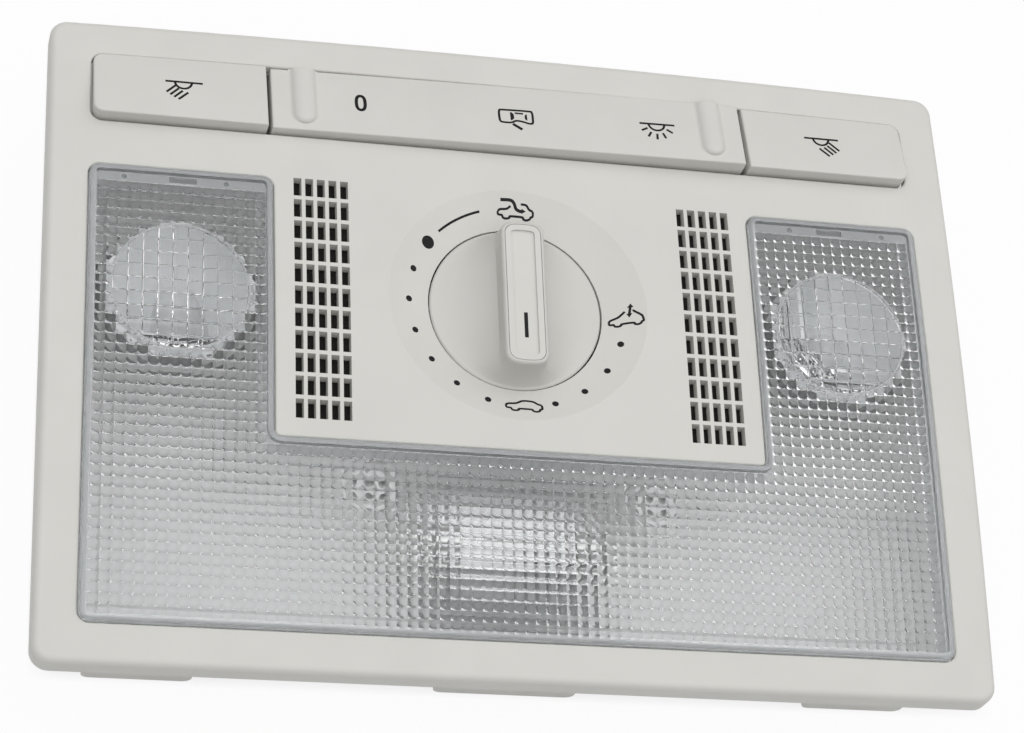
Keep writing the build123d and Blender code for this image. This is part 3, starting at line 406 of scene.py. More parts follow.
# Lens: one moulding of clear acrylic, smooth outside. Small pillows inside spread the
# light, square facets over the reading lamps aim it, and its walls clip into the panel.
CROWN_R = (75.0 ** 2 + 2.75 ** 2) / (2 * 2.75)
FACE_Z = 8.0
LENS_X, LEG_X = 93.5, 53.9
LENS_TOP, LENS_LOW, PANEL_Y = 37.3, -66.2, -24.15
LENS_RISE, LENS_UNDER, LENS_SEAT = 1.0, -1.2, 0.56
LENS_WALL, EDGE_R = 1.45, 0.8
OUTER_R, INNER_R = 2.4, 1.4
OPTIC_X, OPTIC_Y, OPTIC_R = 73.7, 9.25, 14.5
FIELD_GAP = 0.15
COLUMNS, INNER_COLUMNS, ROWS, LOW_ROWS = 81, 49, 43, 17
PILLOW, LOW_PILLOW, PILLOW_FADE, OPTIC_GAP = 0.81, 0.64, 12.0, 0.4
STRAIGHT_STEP, CORNER_STEPS = 6.0, 8


def crown(y, rise=0.0):
    return FACE_Z - CROWN_R + math.sqrt((CROWN_R + rise) ** 2 - y * y)


def u_outline(inset):
    # the U seen from above, set in from its edge; every inset gives as many points
    corners = [
        (-LENS_X, LENS_TOP, 1, -1, 90), (-LENS_X, LENS_LOW, 1, 1, 180), (LENS_X, LENS_LOW, -1, 1, 270),
        (LENS_X, LENS_TOP, -1, -1, 0), (LEG_X, LENS_TOP, 1, -1, 90), (LEG_X, PANEL_Y, -1, 1, None),
        (-LEG_X, PANEL_Y, 1, 1, None), (-LEG_X, LENS_TOP, -1, -1, 0),
    ]
    points = []
    for x, y, dx, dy, first in corners:
        if first is None:
            cx, cy, r = x + dx * INNER_R, y + dy * INNER_R, INNER_R + inset
            first = 0 if dx < 0 else -90
            turn = [first - 90 * k / CORNER_STEPS for k in range(CORNER_STEPS + 1)]
        else:
            cx, cy, r = x + dx * OUTER_R, y + dy * OUTER_R, OUTER_R - inset
            turn = [first + 90 * k / CORNER_STEPS for k in range(CORNER_STEPS + 1)]
        points += [(cx + r * math.cos(math.radians(a)), cy + r * math.sin(math.radians(a))) for a in turn]
    full = []
    levels = [LENS_LOW + STRAIGHT_STEP * k for k in range(1, 17)]
    for k, (x, y) in enumerate(points):
        full.append((x, y))
        nx, ny = points[(k + 1) % len(points)]
        if abs(nx - x) < 1e-6 and abs(ny - y) > 8:
            steps = [v for v in levels if min(y, ny) + 3.5 < v < max(y, ny) - 3.5]
            full += [(x, v) for v in (steps if ny > y else reversed(steps))]
    return full, levels


pitch_x = 2 * (LEG_X + LENS_WALL + FIELD_GAP) / INNER_COLUMNS
field_low = LENS_LOW + LENS_WALL + FIELD_GAP
pitch_y = (PANEL_Y - LENS_WALL - FIELD_GAP - field_low) / LOW_ROWS
pillow_tree, given, made_field = new_tree("pillow_optic", (
    "Pitch X", "Pitch Y", "Depth", "Start Y", "Leg X", "Panel Y", "Optic X", "Optic Y", "Optic R",
    "Crown R", "Crown Z", "Low Share"), ("Columns", "Rows"))
size = given.outputs


def node(kind, **sockets):
    return add(pillow_tree, kind, **sockets)


def calc(operation, *values):
    return sum_of(pillow_tree, operation, *values)


def split_position():
    place = pillow_tree.nodes.new("GeometryNodeInputPosition")
    return node("ShaderNodeSeparateXYZ", Vector=place.outputs[0]).outputs


def moved(mesh, y=0.0, z=0.0):
    offset = node("ShaderNodeCombineXYZ", Y=y, Z=z).outputs[0]
    return node("GeometryNodeSetPosition", Geometry=mesh, Offset=offset).outputs[0]


# one cell, bulging down by its depth
cell = node(
    "GeometryNodeMeshGrid", Size_X=size["Pitch X"], Size_Y=size["Pitch Y"], Vertices_X=7, Vertices_Y=7)
at = split_position()
across = calc("DIVIDE", at["X"], size["Pitch X"])
along = calc("DIVIDE", at["Y"], size["Pitch Y"])
fall = calc("ADD", calc("MULTIPLY", across, across), calc("MULTIPLY", along, along))
bulge = calc("MULTIPLY", calc("SUBTRACT", calc("MULTIPLY", fall, 2.0), 1.0), size["Depth"])
pillow = moved(cell.outputs["Mesh"], z=bulge)
# its places, without those over the panel
wide = calc("MULTIPLY", calc("SUBTRACT", size["Columns"], 1.0), size["Pitch X"])
deep = calc("MULTIPLY", calc("SUBTRACT", size["Rows"], 1.0), size["Pitch Y"])
spots = node(
    "GeometryNodeMeshGrid", Size_X=wide, Size_Y=deep, Vertices_X=size["Columns"], Vertices_Y=size["Rows"])
half_rows = calc("MULTIPLY", calc("MULTIPLY", size["Rows"], size["Pitch Y"]), 0.5)
spots = moved(spots.outputs["Mesh"], y=calc("ADD", half_rows, size["Start Y"]))
at = split_position()
out_x = calc("ABSOLUTE", at["X"])
over_panel = calc(
    "MULTIPLY", calc("LESS_THAN", out_x, size["Leg X"]), calc("GREATER_THAN", at["Y"], size["Panel Y"]))
cut = node("GeometryNodeDeleteGeometry", Geometry=spots, Selection=over_panel)
laid = node("GeometryNodeInstanceOnPoints", Points=cut.outputs[0], Instance=pillow)
whole = node("GeometryNodeRealizeInstances", Geometry=laid.outputs[0])
sewn = node("GeometryNodeMergeByDistance", Geometry=whole.outputs[0], Distance=1e-6)
# two round holes for the reading optics
at = split_position()
off_x = calc("SUBTRACT", calc("ABSOLUTE", at["X"]), size["Optic X"])
off_y = calc("SUBTRACT", at["Y"], size["Optic Y"])
reach = calc("SQRT", calc("ADD", calc("MULTIPLY", off_x, off_x), calc("MULTIPLY", off_y, off_y)))
in_optic = calc("LESS_THAN", reach, size["Optic R"])
holed = node("GeometryNodeDeleteGeometry", Geometry=sewn.outputs[0], Selection=in_optic)
holed.domain = "FACE"
# shallower over the dome lamp than in the legs, then bent to the crown
low_end = calc("SUBTRACT", size["Panel Y"], PILLOW_FADE * MM)
depth_share = node(
    "ShaderNodeMapRange", Value=at["Y"], From_Min=low_end, From_Max=size["Panel Y"],
    To_Min=size["Low Share"], To_Max=1.0)
less = calc("SUBTRACT", depth_share.outputs[0], 1.0)
graded = moved(holed.outputs[0], z=calc("MULTIPLY", at["Z"], less))
square = calc(
    "SUBTRACT", calc("MULTIPLY", size["Crown R"], size["Crown R"]), calc("MULTIPLY", at["Y"], at["Y"]))
bent = moved(graded, z=calc("ADD", calc("SQRT", square), size["Crown Z"]))
lit = node("GeometryNodeSetMaterial", Geometry=bent, Material=size["Material"])
pillow_tree.links.new(lit.outputs[0], made_field.inputs[0])

acrylic = clear("acrylic", (0.99, 0.995, 1.0, 1.0), 1.49, 0.02, 30.0, 0.0)
acrylic_edge = clear("acrylic_edge", (0.88, 0.9, 0.91, 1.0), 1.49, 0.2, 0.8, 0.003, 0.72)
acrylic_satin = clear("acrylic_satin", (0.93, 0.945, 0.96, 1.0), 1.49, 1.0, 0.5, 0.004, 0.5)
field = grow(pillow_tree, "pillow_field", {
    "Pitch X": pitch_x * MM, "Pitch Y": pitch_y * MM, "Columns": COLUMNS, "Rows": ROWS,
    "Depth": PILLOW * MM, "Start Y": field_low * MM, "Leg X": (LEG_X + LENS_WALL + FIELD_GAP) * MM,
    "Panel Y": (PANEL_Y - LENS_WALL) * MM, "Optic X": OPTIC_X * MM, "Optic Y": OPTIC_Y * MM,
    "Optic R": (OPTIC_R + OPTIC_GAP) * MM, "Crown R": (CROWN_R + LENS_UNDER) * MM,
    "Crown Z": (FACE_Z - CROWN_R) * MM, "Low Share": LOW_PILLOW / PILLOW, "Material": acrylic,
})
lens = bmesh.new()
lens.from_mesh(field.data)
bpy.data.objects.remove(field)


def edge_loops(edges):
    # sort open edges into loops, the widest first
    left = set(edges)
    loops = []
    while left:
        todo = [left.pop()]
        loop = []
        while todo:
            edge = todo.pop()
            loop.append(edge)
            for vert in edge.verts:
                for other in vert.link_edges:
                    if other in left:
                        left.discard(other)
                        todo.append(other)
        loops.append(loop)
    return sorted(loops, key=len, reverse=True)


def ring(inset, height):
    outline, _ = u_outline(inset)
    return [lens.verts.new((x * MM, y * MM, height(y) * MM)) for x, y in outline]


def rim_edges(verts):
    edges = []
    for k, vert in enumerate(verts):
        pair = (vert, verts[(k + 1) % len(verts)])
        edges.append(lens.edges.get(pair) or lens.edges.new(pair))
    return edges


skirt = bmesh.ops.extrude_edge_only(lens, edges=[e for e in lens.edges if len(e.link_faces) == 1])
for vert in skirt["geom"]:
    if isinstance(vert, bmesh.types.BMVert):
        vert.co.z = crown(vert.co.y / MM, LENS_UNDER) * MM
bmesh.ops.remove_doubles(lens, verts=lens.verts, dist=2e-6)
open_loops = edge_loops([e for e in lens.edges if len(e.link_faces) == 1])
rings = [ring(LENS_WALL, lambda y: crown(y, LENS_UNDER)), ring(LENS_WALL, lambda y: LENS_SEAT)]
rings.append(ring(0.0, lambda y: LENS_SEAT))
for k in range(7):
    bend = math.radians(15 * k)
    drop = EDGE_R * (1 - math.sin(bend))
    rings.append(ring(EDGE_R * (1 - math.cos(bend)), lambda y, d=drop: crown(y, LENS_RISE) - d))
rings.append(ring(LENS_WALL, lambda y: crown(y, LENS_RISE)))
satin, edge_band = [], []
for level, (near, far) in enumerate(zip(rings, rings[1:])):
    for k in range(len(near)):
        j = (k + 1) % len(near)
        side_face = lens.faces.new((near[k], near[j], far[j], far[k]))
        (satin if level < 3 else edge_band).append(side_face)
flat = (0, 0, 1)
top = bmesh.ops.triangle_fill(lens, use_beauty=True, edges=rim_edges(rings[-1]), normal=flat)
cap = [g for g in top["geom"] if isinstance(g, bmesh.types.BMFace)]
for level in u_outline(0.0)[1]:
    geom = cap + list({e for f in cap for e in f.edges}) + list({v for f in cap for v in f.verts})
    halves = bmesh.ops.bisect_plane(
        lens, geom=geom, dist=1e-6, plane_co=(0, level * MM, 0), plane_no=(0, 1, 0))
    cap = [g for g in halves["geom"] if isinstance(g, bmesh.types.BMFace)]
    for g in halves["geom_cut"]:
        if isinstance(g, bmesh.types.BMVert):
            g.co.z = crown(g.co.y / MM, LENS_RISE) * MM


def fill(edges):
    made = bmesh.ops.triangle_fill(lens, use_beauty=True, edges=edges, normal=flat)
    satin.extend(g for g in made["geom"] if isinstance(g, bmesh.types.BMFace))


def rib(points, depth):
    # a low block under the lens; its clear foot is left smooth
    head = [lens.verts.new((x * MM, y * MM, crown(y, LENS_UNDER) * MM)) for x, y in points]
    foot = [lens.verts.new((x * MM, y * MM, (crown(y, LENS_UNDER) - depth) * MM)) for x, y in points]
    for k in range(len(points)):
        j = (k + 1) % len(points)
        lens.faces.new((head[k], head[j], foot[j], foot[k]))
    lens.faces.new(foot)
    return rim_edges(head)


LATCH_X, LATCH_HALF, LATCH_LOW, LATCH_TOP, LATCH_T = 73.4, 3.0, 34.15, 35.55, 0.9
PIN_PLACES, PIN_Y, PIN_R, PIN_T = (64.0, 86.0), 34.8, 0.6, 0.5
strip = rim_edges(rings[0]) + open_loops[0]
for side in (-1, 1):
    near_x, far_x = side * LATCH_X - LATCH_HALF, side * LATCH_X + LATCH_HALF
    block = [(near_x, LATCH_LOW), (far_x, LATCH_LOW), (far_x, LATCH_TOP), (near_x, LATCH_TOP)]
    strip += rib(block, LATCH_T)
    for pin in PIN_PLACES:
        spin = [2 * math.pi * k / 12 for k in range(12)]
        round_pin = [(side * pin + PIN_R * math.cos(a), PIN_Y + PIN_R * math.sin(a)) for a in spin]
        strip += rib(round_pin, PIN_T)
fill(strip)

FACET, TILT, CHAMFER, PAD = 3.2, 0.6, 0.16, 0.25
LEVEL_X, LEVEL_Y = 0.1, 0.05


def name_of(point):
    return (round(point[0], 4), round(point[1], 4))


def clip(polygon, rim):
    # cut a convex polygon with a convex outline that runs anticlockwise
    for k, (ax, ay) in enumerate(rim):
        bx, by = rim[(k + 1) % len(rim)]
        side_of = [(bx - ax) * (y - ay) - (by - ay) * (x - ax) for x, y in polygon]
        kept = []
        for i, (x, y) in enumerate(polygon):
            j = (i + 1) % len(polygon)
            if side_of[i] >= -1e-9:
                kept.append((x, y))
            if side_of[i] * side_of[j] < 0 and min(abs(side_of[i]), abs(side_of[j])) > 1e-9:
                t = side_of[i] / (side_of[i] - side_of[j])
                kept.append((x + (polygon[j][0] - x) * t, y + (polygon[j][1] - y) * t))
        polygon = kept
        if len(polygon) < 3:
            return []
    return polygon


def reading_optic(side, hole):
    # a thick round pad under the lens, cut into tilted square facets with steps between
    cx, cy = side * OPTIC_X, OPTIC_Y
    spin = [2 * math.pi * k / 96 for k in range(96)]
    rim = [(cx + OPTIC_R * math.cos(a), cy + OPTIC_R * math.sin(a)) for a in spin]
    columns = {}

    def corner(x, y, z):
        column = columns.setdefault(name_of((x, y)), {})
        level = round(z, 4)
        if level not in column:
            column[level] = lens.verts.new((x * MM, y * MM, z * MM))
        return column[level]

    def standing(p, q, zp, zq):
        # an upright face between two columns, through every point on them
        loop = []
        for point, span, down in ((p, zp, False), (q, zq, True)):
            column = columns[name_of(point)]
            lowest, highest = round(min(span), 4), round(max(span), 4)
            loop += [column[z] for z in sorted(column, reverse=down) if lowest <= z <= highest]
        if len(loop) > 2 and lens.faces.get(loop) is None:
            lens.faces.new(loop)

    count = int(OPTIC_R / FACET) + 1
    borders = {}
    for i in range(-count, count + 1):
        for j in range(-count, count + 1):
            mx, my = cx + i * FACET, cy + j * FACET
            h = FACET / 2
            shape = clip([(mx - h, my - h), (mx + h, my - h), (mx + h, my + h), (mx - h, my + h)], rim)
            if not shape:
                continue
            tilt_x = -side * TILT * max(0.0, -side * i / count + LEVEL_X)
            tilt_y = -TILT * max(0.0, -j / count + LEVEL_Y)
            base = crown(my, LENS_UNDER) - PAD - CHAMFER - (abs(tilt_x) + abs(tilt_y)) * h
            height = [base + CHAMFER + tilt_x * (x - mx) + tilt_y * (y - my) for x, y in shape]
            ox, oy = (sum(p[c] for p in shape) / len(shape) for c in (0, 1))
            keep = 1 - 2 * CHAMFER / FACET
            face = [(ox + (x - ox) * keep, oy + (y - oy) * keep) for x, y in shape]
            flat_top = [corner(x, y, base + tilt_x * (x - mx) + tilt_y * (y - my)) for x, y in face]
            edge = [corner(x, y, z) for (x, y), z in zip(shape, height)]
            lens.faces.new(flat_top)
            for k in range(len(shape)):
                n = (k + 1) % len(shape)
                lens.faces.new((edge[k], edge[n], flat_top[n], flat_top[k]))
            for k, p in enumerate(shape):
                n = (k + 1) % len(shape)
                q = shape[n]
                name = tuple(sorted((name_of(p), name_of(q))))
                borders.setdefault(name, []).append({name_of(p): height[k], name_of(q): height[n]})
    outer = [pair for pair, ends in borders.items() if len(ends) == 1]
    for pair in outer:
        for x, y in pair:
            corner(x, y, crown(y, LENS_UNDER))
    for (p, q), ends in borders.items():
        far = ends[1] if len(ends) == 2 else {p: crown(p[1], LENS_UNDER), q: crown(q[1], LENS_UNDER)}
        standing(p, q, (ends[0][p], far[p]), (ends[0][q], far[q]))
    edges = []
    for p, q in outer:
        pair = [columns[c][round(crown(c[1], LENS_UNDER), 4)] for c in (p, q)]
        edges.append(lens.edges.get(pair) or lens.edges.new(pair))
    fill(edges + hole)


for hole in open_loops[1:3]:
    side = 1 if sum(e.verts[0].co.x for e in hole) > 0 else -1
    reading_optic(side, hole)
bmesh.ops.recalc_face_normals(lens, faces=lens.faces)
lens.faces.index_update()
matt, hazy = ([face.index for face in band] for band in (satin, edge_band))
lens_piece = finish_piece("lens_optic", lens, acrylic, "base", 22.0)
for place, mat, band in ((1, acrylic_satin, matt), (2, acrylic_edge, hazy)):
    lens_piece.data.materials.append(mat)
    for index in band:
        lens_piece.data.polygons[index].material_index = place
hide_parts("lens")

# Keys and rocker: hollow caps of the same grey plastic, hinged in the panel's brackets.
# Their faces are crisp, with two finger ridges, and signs pad-printed in dark ink.
dress(grey_plastic, "reading_button_left", "reading_button_right", "dome_rocker")
ink, tree, bsdf, where = new_material("ink")
film = noise(tree, where, 0.4, 3.0)
tree.links.new(two_tone(tree, film, srgb(16, 16, 18), srgb(26, 26, 28)), bsdf.inputs["Base Color"])
tree.links.new(spread(tree, film, 0.5, 0.65), bsdf.inputs["Roughness"])
bsdf.inputs["Specular IOR Level"].default_value = 0.25
INK_UP, INK_T = 0.03, 0.05
ROW_LOW, ROW_TOP, ROW_ARCH = 48.4, 66.6, 1.3
KEY_PROUD, KEY_BACK_UP = 3.24, 0.3
ROCKER_AXIS_Z, ROCKER_TILT = 0.8, math.radians(-1.0)


def key_top(x, y):
    slope = (crown(ROW_LOW) + KEY_PROUD - crown(ROW_TOP) - KEY_BACK_UP) / (ROW_TOP - ROW_LOW)
    return crown(ROW_TOP) + KEY_BACK_UP + (ROW_TOP - y) * slope


def stroke(art, points, width, closed=False):
    # a printed line of even width through the points
    last = len(points) - 1
    sides = []
    for k, (x, y) in enumerate(points):
        before = points[k - 1] if k > 0 or closed else points[k]
        after = points[(k + 1) % len(points)] if k < last or closed else points[k]
        a = Vector((x - before[0], y - before[1]))
        b = Vector((after[0] - x, after[1] - y))
        a = a.normalized() if a.length else b.normalized()
        b = b.normalized() if b.length else a
        mid = (a + b).normalized() if (a + b).length > 1e-6 else a
        stretch = width / 2 / max(mid.dot(a), 0.5)
        sides.append((art.verts.new((x - mid.y * stretch, y + mid.x * stretch, 0)),
                      art.verts.new((x + mid.y * stretch, y - mid.x * stretch, 0))))
    for k in range(len(points) if closed else last):
        j = (k + 1) % len(points)
        art.faces.new((sides[k][0], sides[k][1], sides[j][1], sides[j][0]))


def smooth(points, steps=6, closed=False):
    # a soft curve through a few points
    count = len(points)
    path = []
    for k in range(count if closed else count - 1):
        places = [k + d for d in (-1, 0, 1, 2)]
        p = [points[n % count if closed else min(max(n, 0), count - 1)] for n in places]
        for s in range(steps):
            t = s / steps
            path.append(tuple(
                0.5 * (2 * b + (c - a) * t + (2 * a - 5 * b + 4 * c - d) * t * t
                       + (3 * b - a - 3 * c + d) * t ** 3) for a, b, c, d in zip(*p)))
    return path if closed else path + [points[-1]]


def bow(cx, cy, r, first, last, steps=16):
    turn = [math.radians(first + (last - first) * k / steps) for k in range(steps + 1)]
    return [(cx + r * math.cos(a), cy + r * math.sin(a)) for a in turn]


def patch(art, points):
    art.faces.new([art.verts.new((x, y, 0)) for x, y in points])


def dot(art, cx, cy, r):
    centre = art.verts.new((cx, cy, 0))
    edge = [art.verts.new((x, y, 0)) for x, y in bow(cx, cy, r, 0, 360, 24)[:-1]]
    for k, vert in enumerate(edge):
        art.faces.new((centre, vert, edge[(k + 1) % len(edge)]))


def about_axle(tilt):
    # the rocker's rest tilt, in millimetres
    down = Matrix.Translation((0, 0, -ROCKER_AXIS_Z))
    return Matrix.Translation((0, 0, ROCKER_AXIS_Z)) @ Matrix.Rotation(tilt, 4, "Y") @ down


def close_rings(made, rings):
    # join rings of points one after the other, with a face at both ends
    for near, far in zip(rings, rings[1:]):
        for k in range(len(near)):
            j = (k + 1) % len(near)
            made.faces.new((near[k], near[j], far[j], far[k]))
    made.faces.new(rings[0])
    made.faces.new(rings[-1])
    bmesh.ops.recalc_face_normals(made, faces=made.faces)


def print_on(name, art, surface, body, tilt=0.0):
    # lay flat artwork on a surface as a thin film of ink
    bmesh.ops.recalc_face_normals(art, faces=art.faces)
    for face in art.faces:
        if face.normal.z < 0:
            face.normal_flip()
    top = list(art.faces)
    grown = bmesh.ops.extrude_face_region(art, geom=top, use_keep_orig=True)
    upper = {g for g in grown["geom"] if isinstance(g, bmesh.types.BMVert)}
    for vert in art.verts:
        vert.co.z = surface(vert.co.x, vert.co.y) + (INK_UP if vert in upper else INK_UP - INK_T)
    bmesh.ops.recalc_face_normals(art, faces=art.faces)
    art.transform(Matrix.Scale(MM, 4) @ about_axle(tilt))
    return finish_piece(name, art, ink, body)


KEY_IN, KEY_OUT, ROCKER_HALF = 55.07, 93.1, 53.93
KEY_FRONT, KEY_BACK, KEY_EDGE = 48.97, 66.47, 0.45
KEY_ROUND, KEY_SQUARE = 2.2, 0.1
SKIN_T, SKIN_WALL, SKIN_LOW = 1.0, 0.8, 3.2
PANEL_HALF, CRISP_DEG = 102.5, 50.0


def key_plan(x0, x1, round0, round1, inset):
    # plan of a key: straight front, arched back, its own corner radius at each end
    a, b = x0 + inset, x1 - inset
    ra, rb = max(round0 - inset, 0.03), max(round1 - inset, 0.03)
    front = KEY_FRONT + inset

    def back(x):
        return KEY_BACK - inset - ROW_ARCH * (x / PANEL_HALF) ** 2

    points = bow(a + ra, front + ra, ra, 180, 270, 6) + bow(b - rb, front + rb, rb, 270, 360, 6)
    points += bow(b - rb, back(b - rb) - rb, rb, 0, 90, 6)
    span = [b - rb + (a + ra - b + rb) * k / 16 for k in range(1, 16)]
    points += [(x, back(x)) for x in span]
    return points + bow(a + ra, back(a + ra) - ra, ra, 90, 180, 6)


def key_skin(name, x0, x1, round0, round1, body, tilt=0.0):
    # the crisp outer face of a key, over its moulded core
    skin = bmesh.new()

    def course(inset, height):
        plan = key_plan(x0, x1, round0, round1, inset)
        return [skin.verts.new((x, y, height(y))) for x, y in plan]

    courses = [course(SKIN_WALL, lambda y: key_top(0, y) - SKIN_T), course(SKIN_WALL, lambda y: SKIN_LOW),
               course(0.0, lambda y: SKIN_LOW)]
    for k in range(6):
        bend = math.radians(18 * k)
        drop = KEY_EDGE * (1 - math.sin(bend))
        courses.append(course(KEY_EDGE * (1 - math.cos(bend)), lambda y, d=drop: key_top(0, y) - d))
    close_rings(skin, courses)
    skin.transform(Matrix.Scale(MM, 4) @ about_axle(tilt))
    finish_piece(name, skin, grey_plastic, body, CRISP_DEG)


key_skin("left_key_face", -KEY_OUT, -KEY_IN, KEY_ROUND, KEY_SQUARE, "left_key")
key_skin("right_key_face", KEY_IN, KEY_OUT, KEY_SQUARE, KEY_ROUND, "right_key")
key_skin("rocker_face", -ROCKER_HALF, ROCKER_HALF, KEY_SQUARE, KEY_SQUARE, "rocker", ROCKER_TILT)

RIDGE_X, RIDGE_HALF, RIDGE_UP, RIDGE_FLARE = 46.7, 2.6, 1.45, 0.9
RIDGE_NOSE, RIDGE_LOW, RIDGE_TOP, RIDGE_SINK = 2.6, 50.75, 66.2, 0.2
for side in (-1, 1):
    bead = bmesh.new()
    rows = []
    nose = [math.radians(10 * k) for k in range(1, 10)]
    steps = [(RIDGE_LOW + RIDGE_NOSE * (1 - math.cos(a)), math.sin(a)) for a in nose]
    bend = [math.radians(25 + 13 * k) for k in range(11)]
    for y, swell in steps + [(RIDGE_TOP, 1.0)]:
        arch = [(RIDGE_HALF * math.cos(a), RIDGE_UP * math.sin(a)) for a in bend]
        edge_x, edge_up = arch[0]
        flare = [(edge_x + RIDGE_FLARE * t, edge_up * (1 - t) ** 2) for t in (1.0, 0.8, 0.6, 0.4, 0.2)]
        arch = flare + arch + [(-x, up) for x, up in reversed(flare)]
        arch = [(side * RIDGE_X + x * swell, up * swell) for x, up in arch]
        arch += [(arch[-1][0], -RIDGE_SINK), (arch[0][0], -RIDGE_SINK)]
        rows.append([bead.verts.new((x, y, key_top(x, y) + up)) for x, up in arch])
    close_rings(bead, rows)
    bead.transform(Matrix.Scale(MM, 4) @ about_axle(ROCKER_TILT))
    hand = "left" if side < 0 else "right"
    finish_piece("finger_ridge_" + hand, bead, grey_plastic, "rocker", CRISP_DEG)

LINE = 0.52


def lamp_sign(art, cx, cy, rays):
    # a lamp on a ceiling line, with its rays
    stroke(art, [(cx - 4.1, cy), (cx + 4.1, cy)], LINE)
    stroke(art, bow(cx - 0.15, cy, 1.85, 180, 360), LINE)
    for start, end in rays:
        stroke(art, [(cx + start[0], cy + start[1]), (cx + end[0], cy + end[1])], LINE)


beam = [((-1.75, -0.95), (-3.9, -3.15)), ((-1.2, -1.9), (-3.1, -3.85)), ((-0.35, -2.5), (-2.25, -4.45)),
        ((0.85, -2.9), (-1.3, -5.0))]
for side, body in ((-1, "left_key"), (1, "right_key")):
    art = bmesh.new()
    rays = [((-side * a, b), (-side * c, d)) for (a, b), (c, d) in beam]
    lamp_sign(art, side * 73.45, 59.0, rays)
    print_on(body + "_sign", art, key_top, body)

art = bmesh.new()
ZERO_X, ZERO_Y, ZERO_HALF, ZERO_TALL, ZERO_FLAT, ZERO_LINE = -34.03, 57.95, 1.12, 2.04, 0.12, 0.74
zero = []
for k in range(32):
    a = 2 * math.pi * k / 32
    half = ZERO_HALF * math.cos(a) * (1 - ZERO_FLAT * math.cos(2 * a))
    zero.append((ZERO_X + half, ZERO_Y + ZERO_TALL * math.sin(a)))
stroke(art, zero, ZERO_LINE, True)
print_on("off_sign", art, key_top, "rocker", ROCKER_TILT)

art = bmesh.new()
car_plan = [(-2.5, 59.1), (-1.6, 59.35), (4.1, 59.4), (4.95, 59.1), (5.05, 57.6), (4.9, 56.0), (4.0, 55.8),
            (2.7, 56.2), (1.2, 56.35), (0.0, 55.75), (-1.7, 55.7), (-2.5, 56.0), (-2.65, 57.6)]
stroke(art, smooth(car_plan, 4, True), LINE, True)
stroke(art, [(0.3, 55.35), (2.35, 53.9)], 0.72)
patch(art, [(-0.1, 58.75), (0.25, 58.75), (0.75, 58.2), (0.75, 57.0), (0.25, 56.45), (-0.1, 56.45)])
patch(art, [(3.75, 58.5), (3.4, 58.35), (3.2, 57.9), (3.2, 57.2), (3.4, 56.8), (3.75, 56.65)])
stroke(art, [(1.0, 58.6), (2.9, 58.55)], 0.44)
print_on("door_sign", art, key_top, "rocker", ROCKER_TILT)

art = bmesh.new()
fan = [((-2.35, -1.3), (-3.75, -2.1)), ((-1.6, -2.45), (-2.4, -3.85)), ((-0.25, -2.85), (-0.35, -4.5)),
       ((1.1, -2.5), (1.7, -4.0)), ((2.1, -1.35), (3.45, -2.3))]
lamp_sign(art, 34.05, 58.65, fan)
print_on("dome_sign", art, key_top, "rocker", ROCKER_TILT)

# Dial marks: dots, an arc and three car signs, pad-printed round the knob on the
# panel's dished dial in the same dark ink as the signs on the keys.
KNOB_Y, KNOB_HOLE_R, DIAL_R, DIAL_DROP = 11.05, 19.55, 28.9, 3.6
MARK_R, CAR_LINE, BIG_DOT_DEG = 24.1, 0.5, 144


def dial_top(x, y):
    r = math.hypot(x, y - KNOB_Y)
    lean = (y - KNOB_Y) * KNOB_Y / CROWN_R
    return crown(KNOB_Y) - DIAL_DROP + (r - KNOB_HOLE_R) * DIAL_DROP / (DIAL_R - KNOB_HOLE_R) - lean


art = bmesh.new()
for degree in (162, 180, 198, 216, 234, 252, 288, 306, 324, 342, BIG_DOT_DEG):
    a = math.radians(degree)
    dot(art, MARK_R * math.cos(a), KNOB_Y + MARK_R * math.sin(a), 1.45 if degree == BIG_DOT_DEG else 0.72)
stroke(art, bow(0, KNOB_Y, MARK_R, 135, 108.5, 30), LINE)


def car_side(cx, cy, roof, turn=0.0, grow_by=1.0):
    # a plain saloon seen from the side; the roof line is given
    body = [(-3.9, -0.1), (-3.75, -0.75), (-2.9, -0.85), (-2.6, -1.35), (-1.9, -1.5), (-1.2, -1.3),
            (-0.9, -0.95), (1.7, -1.0), (2.0, -1.4), (2.7, -1.6), (3.4, -1.35), (3.65, -0.95),
            (4.1, -0.7), (4.05, 0.3)]
    c, s = grow_by * math.cos(turn), grow_by * math.sin(turn)
    lines = [smooth(body, 4)] + [smooth(line, 5) for line in roof]
    return [[(cx + x * c - y * s, cy + x * s + y * c) for x, y in line] for line in lines]


closed_roof = [[(4.05, 0.3), (3.3, 0.55), (2.2, 1.25), (0.1, 1.35), (-1.5, 0.6), (-3.3, 0.35),
                (-3.9, -0.1)]]
for line in car_side(0.3, -12.75, closed_roof):
    stroke(art, line, CAR_LINE)
slide_roof = [[(4.05, 0.3), (3.2, 0.7), (2.5, 1.55), (1.3, 1.7)],
              [(-1.0, 1.2), (-1.9, 0.55), (-3.3, 0.35), (-3.9, -0.1)]]
for line in car_side(0.45, 34.6, slide_roof):
    stroke(art, line, CAR_LINE)
slide_arrow = [(-2.95, 36.95), (-0.6, 37.0), (0.25, 36.3), (0.7, 35.3), (1.5, 34.85), (2.2, 34.85)]
stroke(art, smooth(slide_arrow, 5), 0.7)
patch(art, [(2.0, 35.4), (2.0, 34.3), (2.95, 34.85)])
tilt_roof = [[(4.05, 0.3), (3.7, 0.9), (2.2, 2.2), (1.9, 2.3)],
             [(0.1, 2.3), (-1.6, 1.0), (-3.4, 0.4), (-3.9, -0.1)]]
for line in car_side(24.35, 9.55, tilt_roof, math.radians(4.0), 0.9):
    stroke(art, line, CAR_LINE)
stroke(art, [(25.5, 12.8), (25.2, 10.9)], 0.56)
patch(art, [(24.8, 12.5), (26.15, 12.6), (25.55, 13.5)])
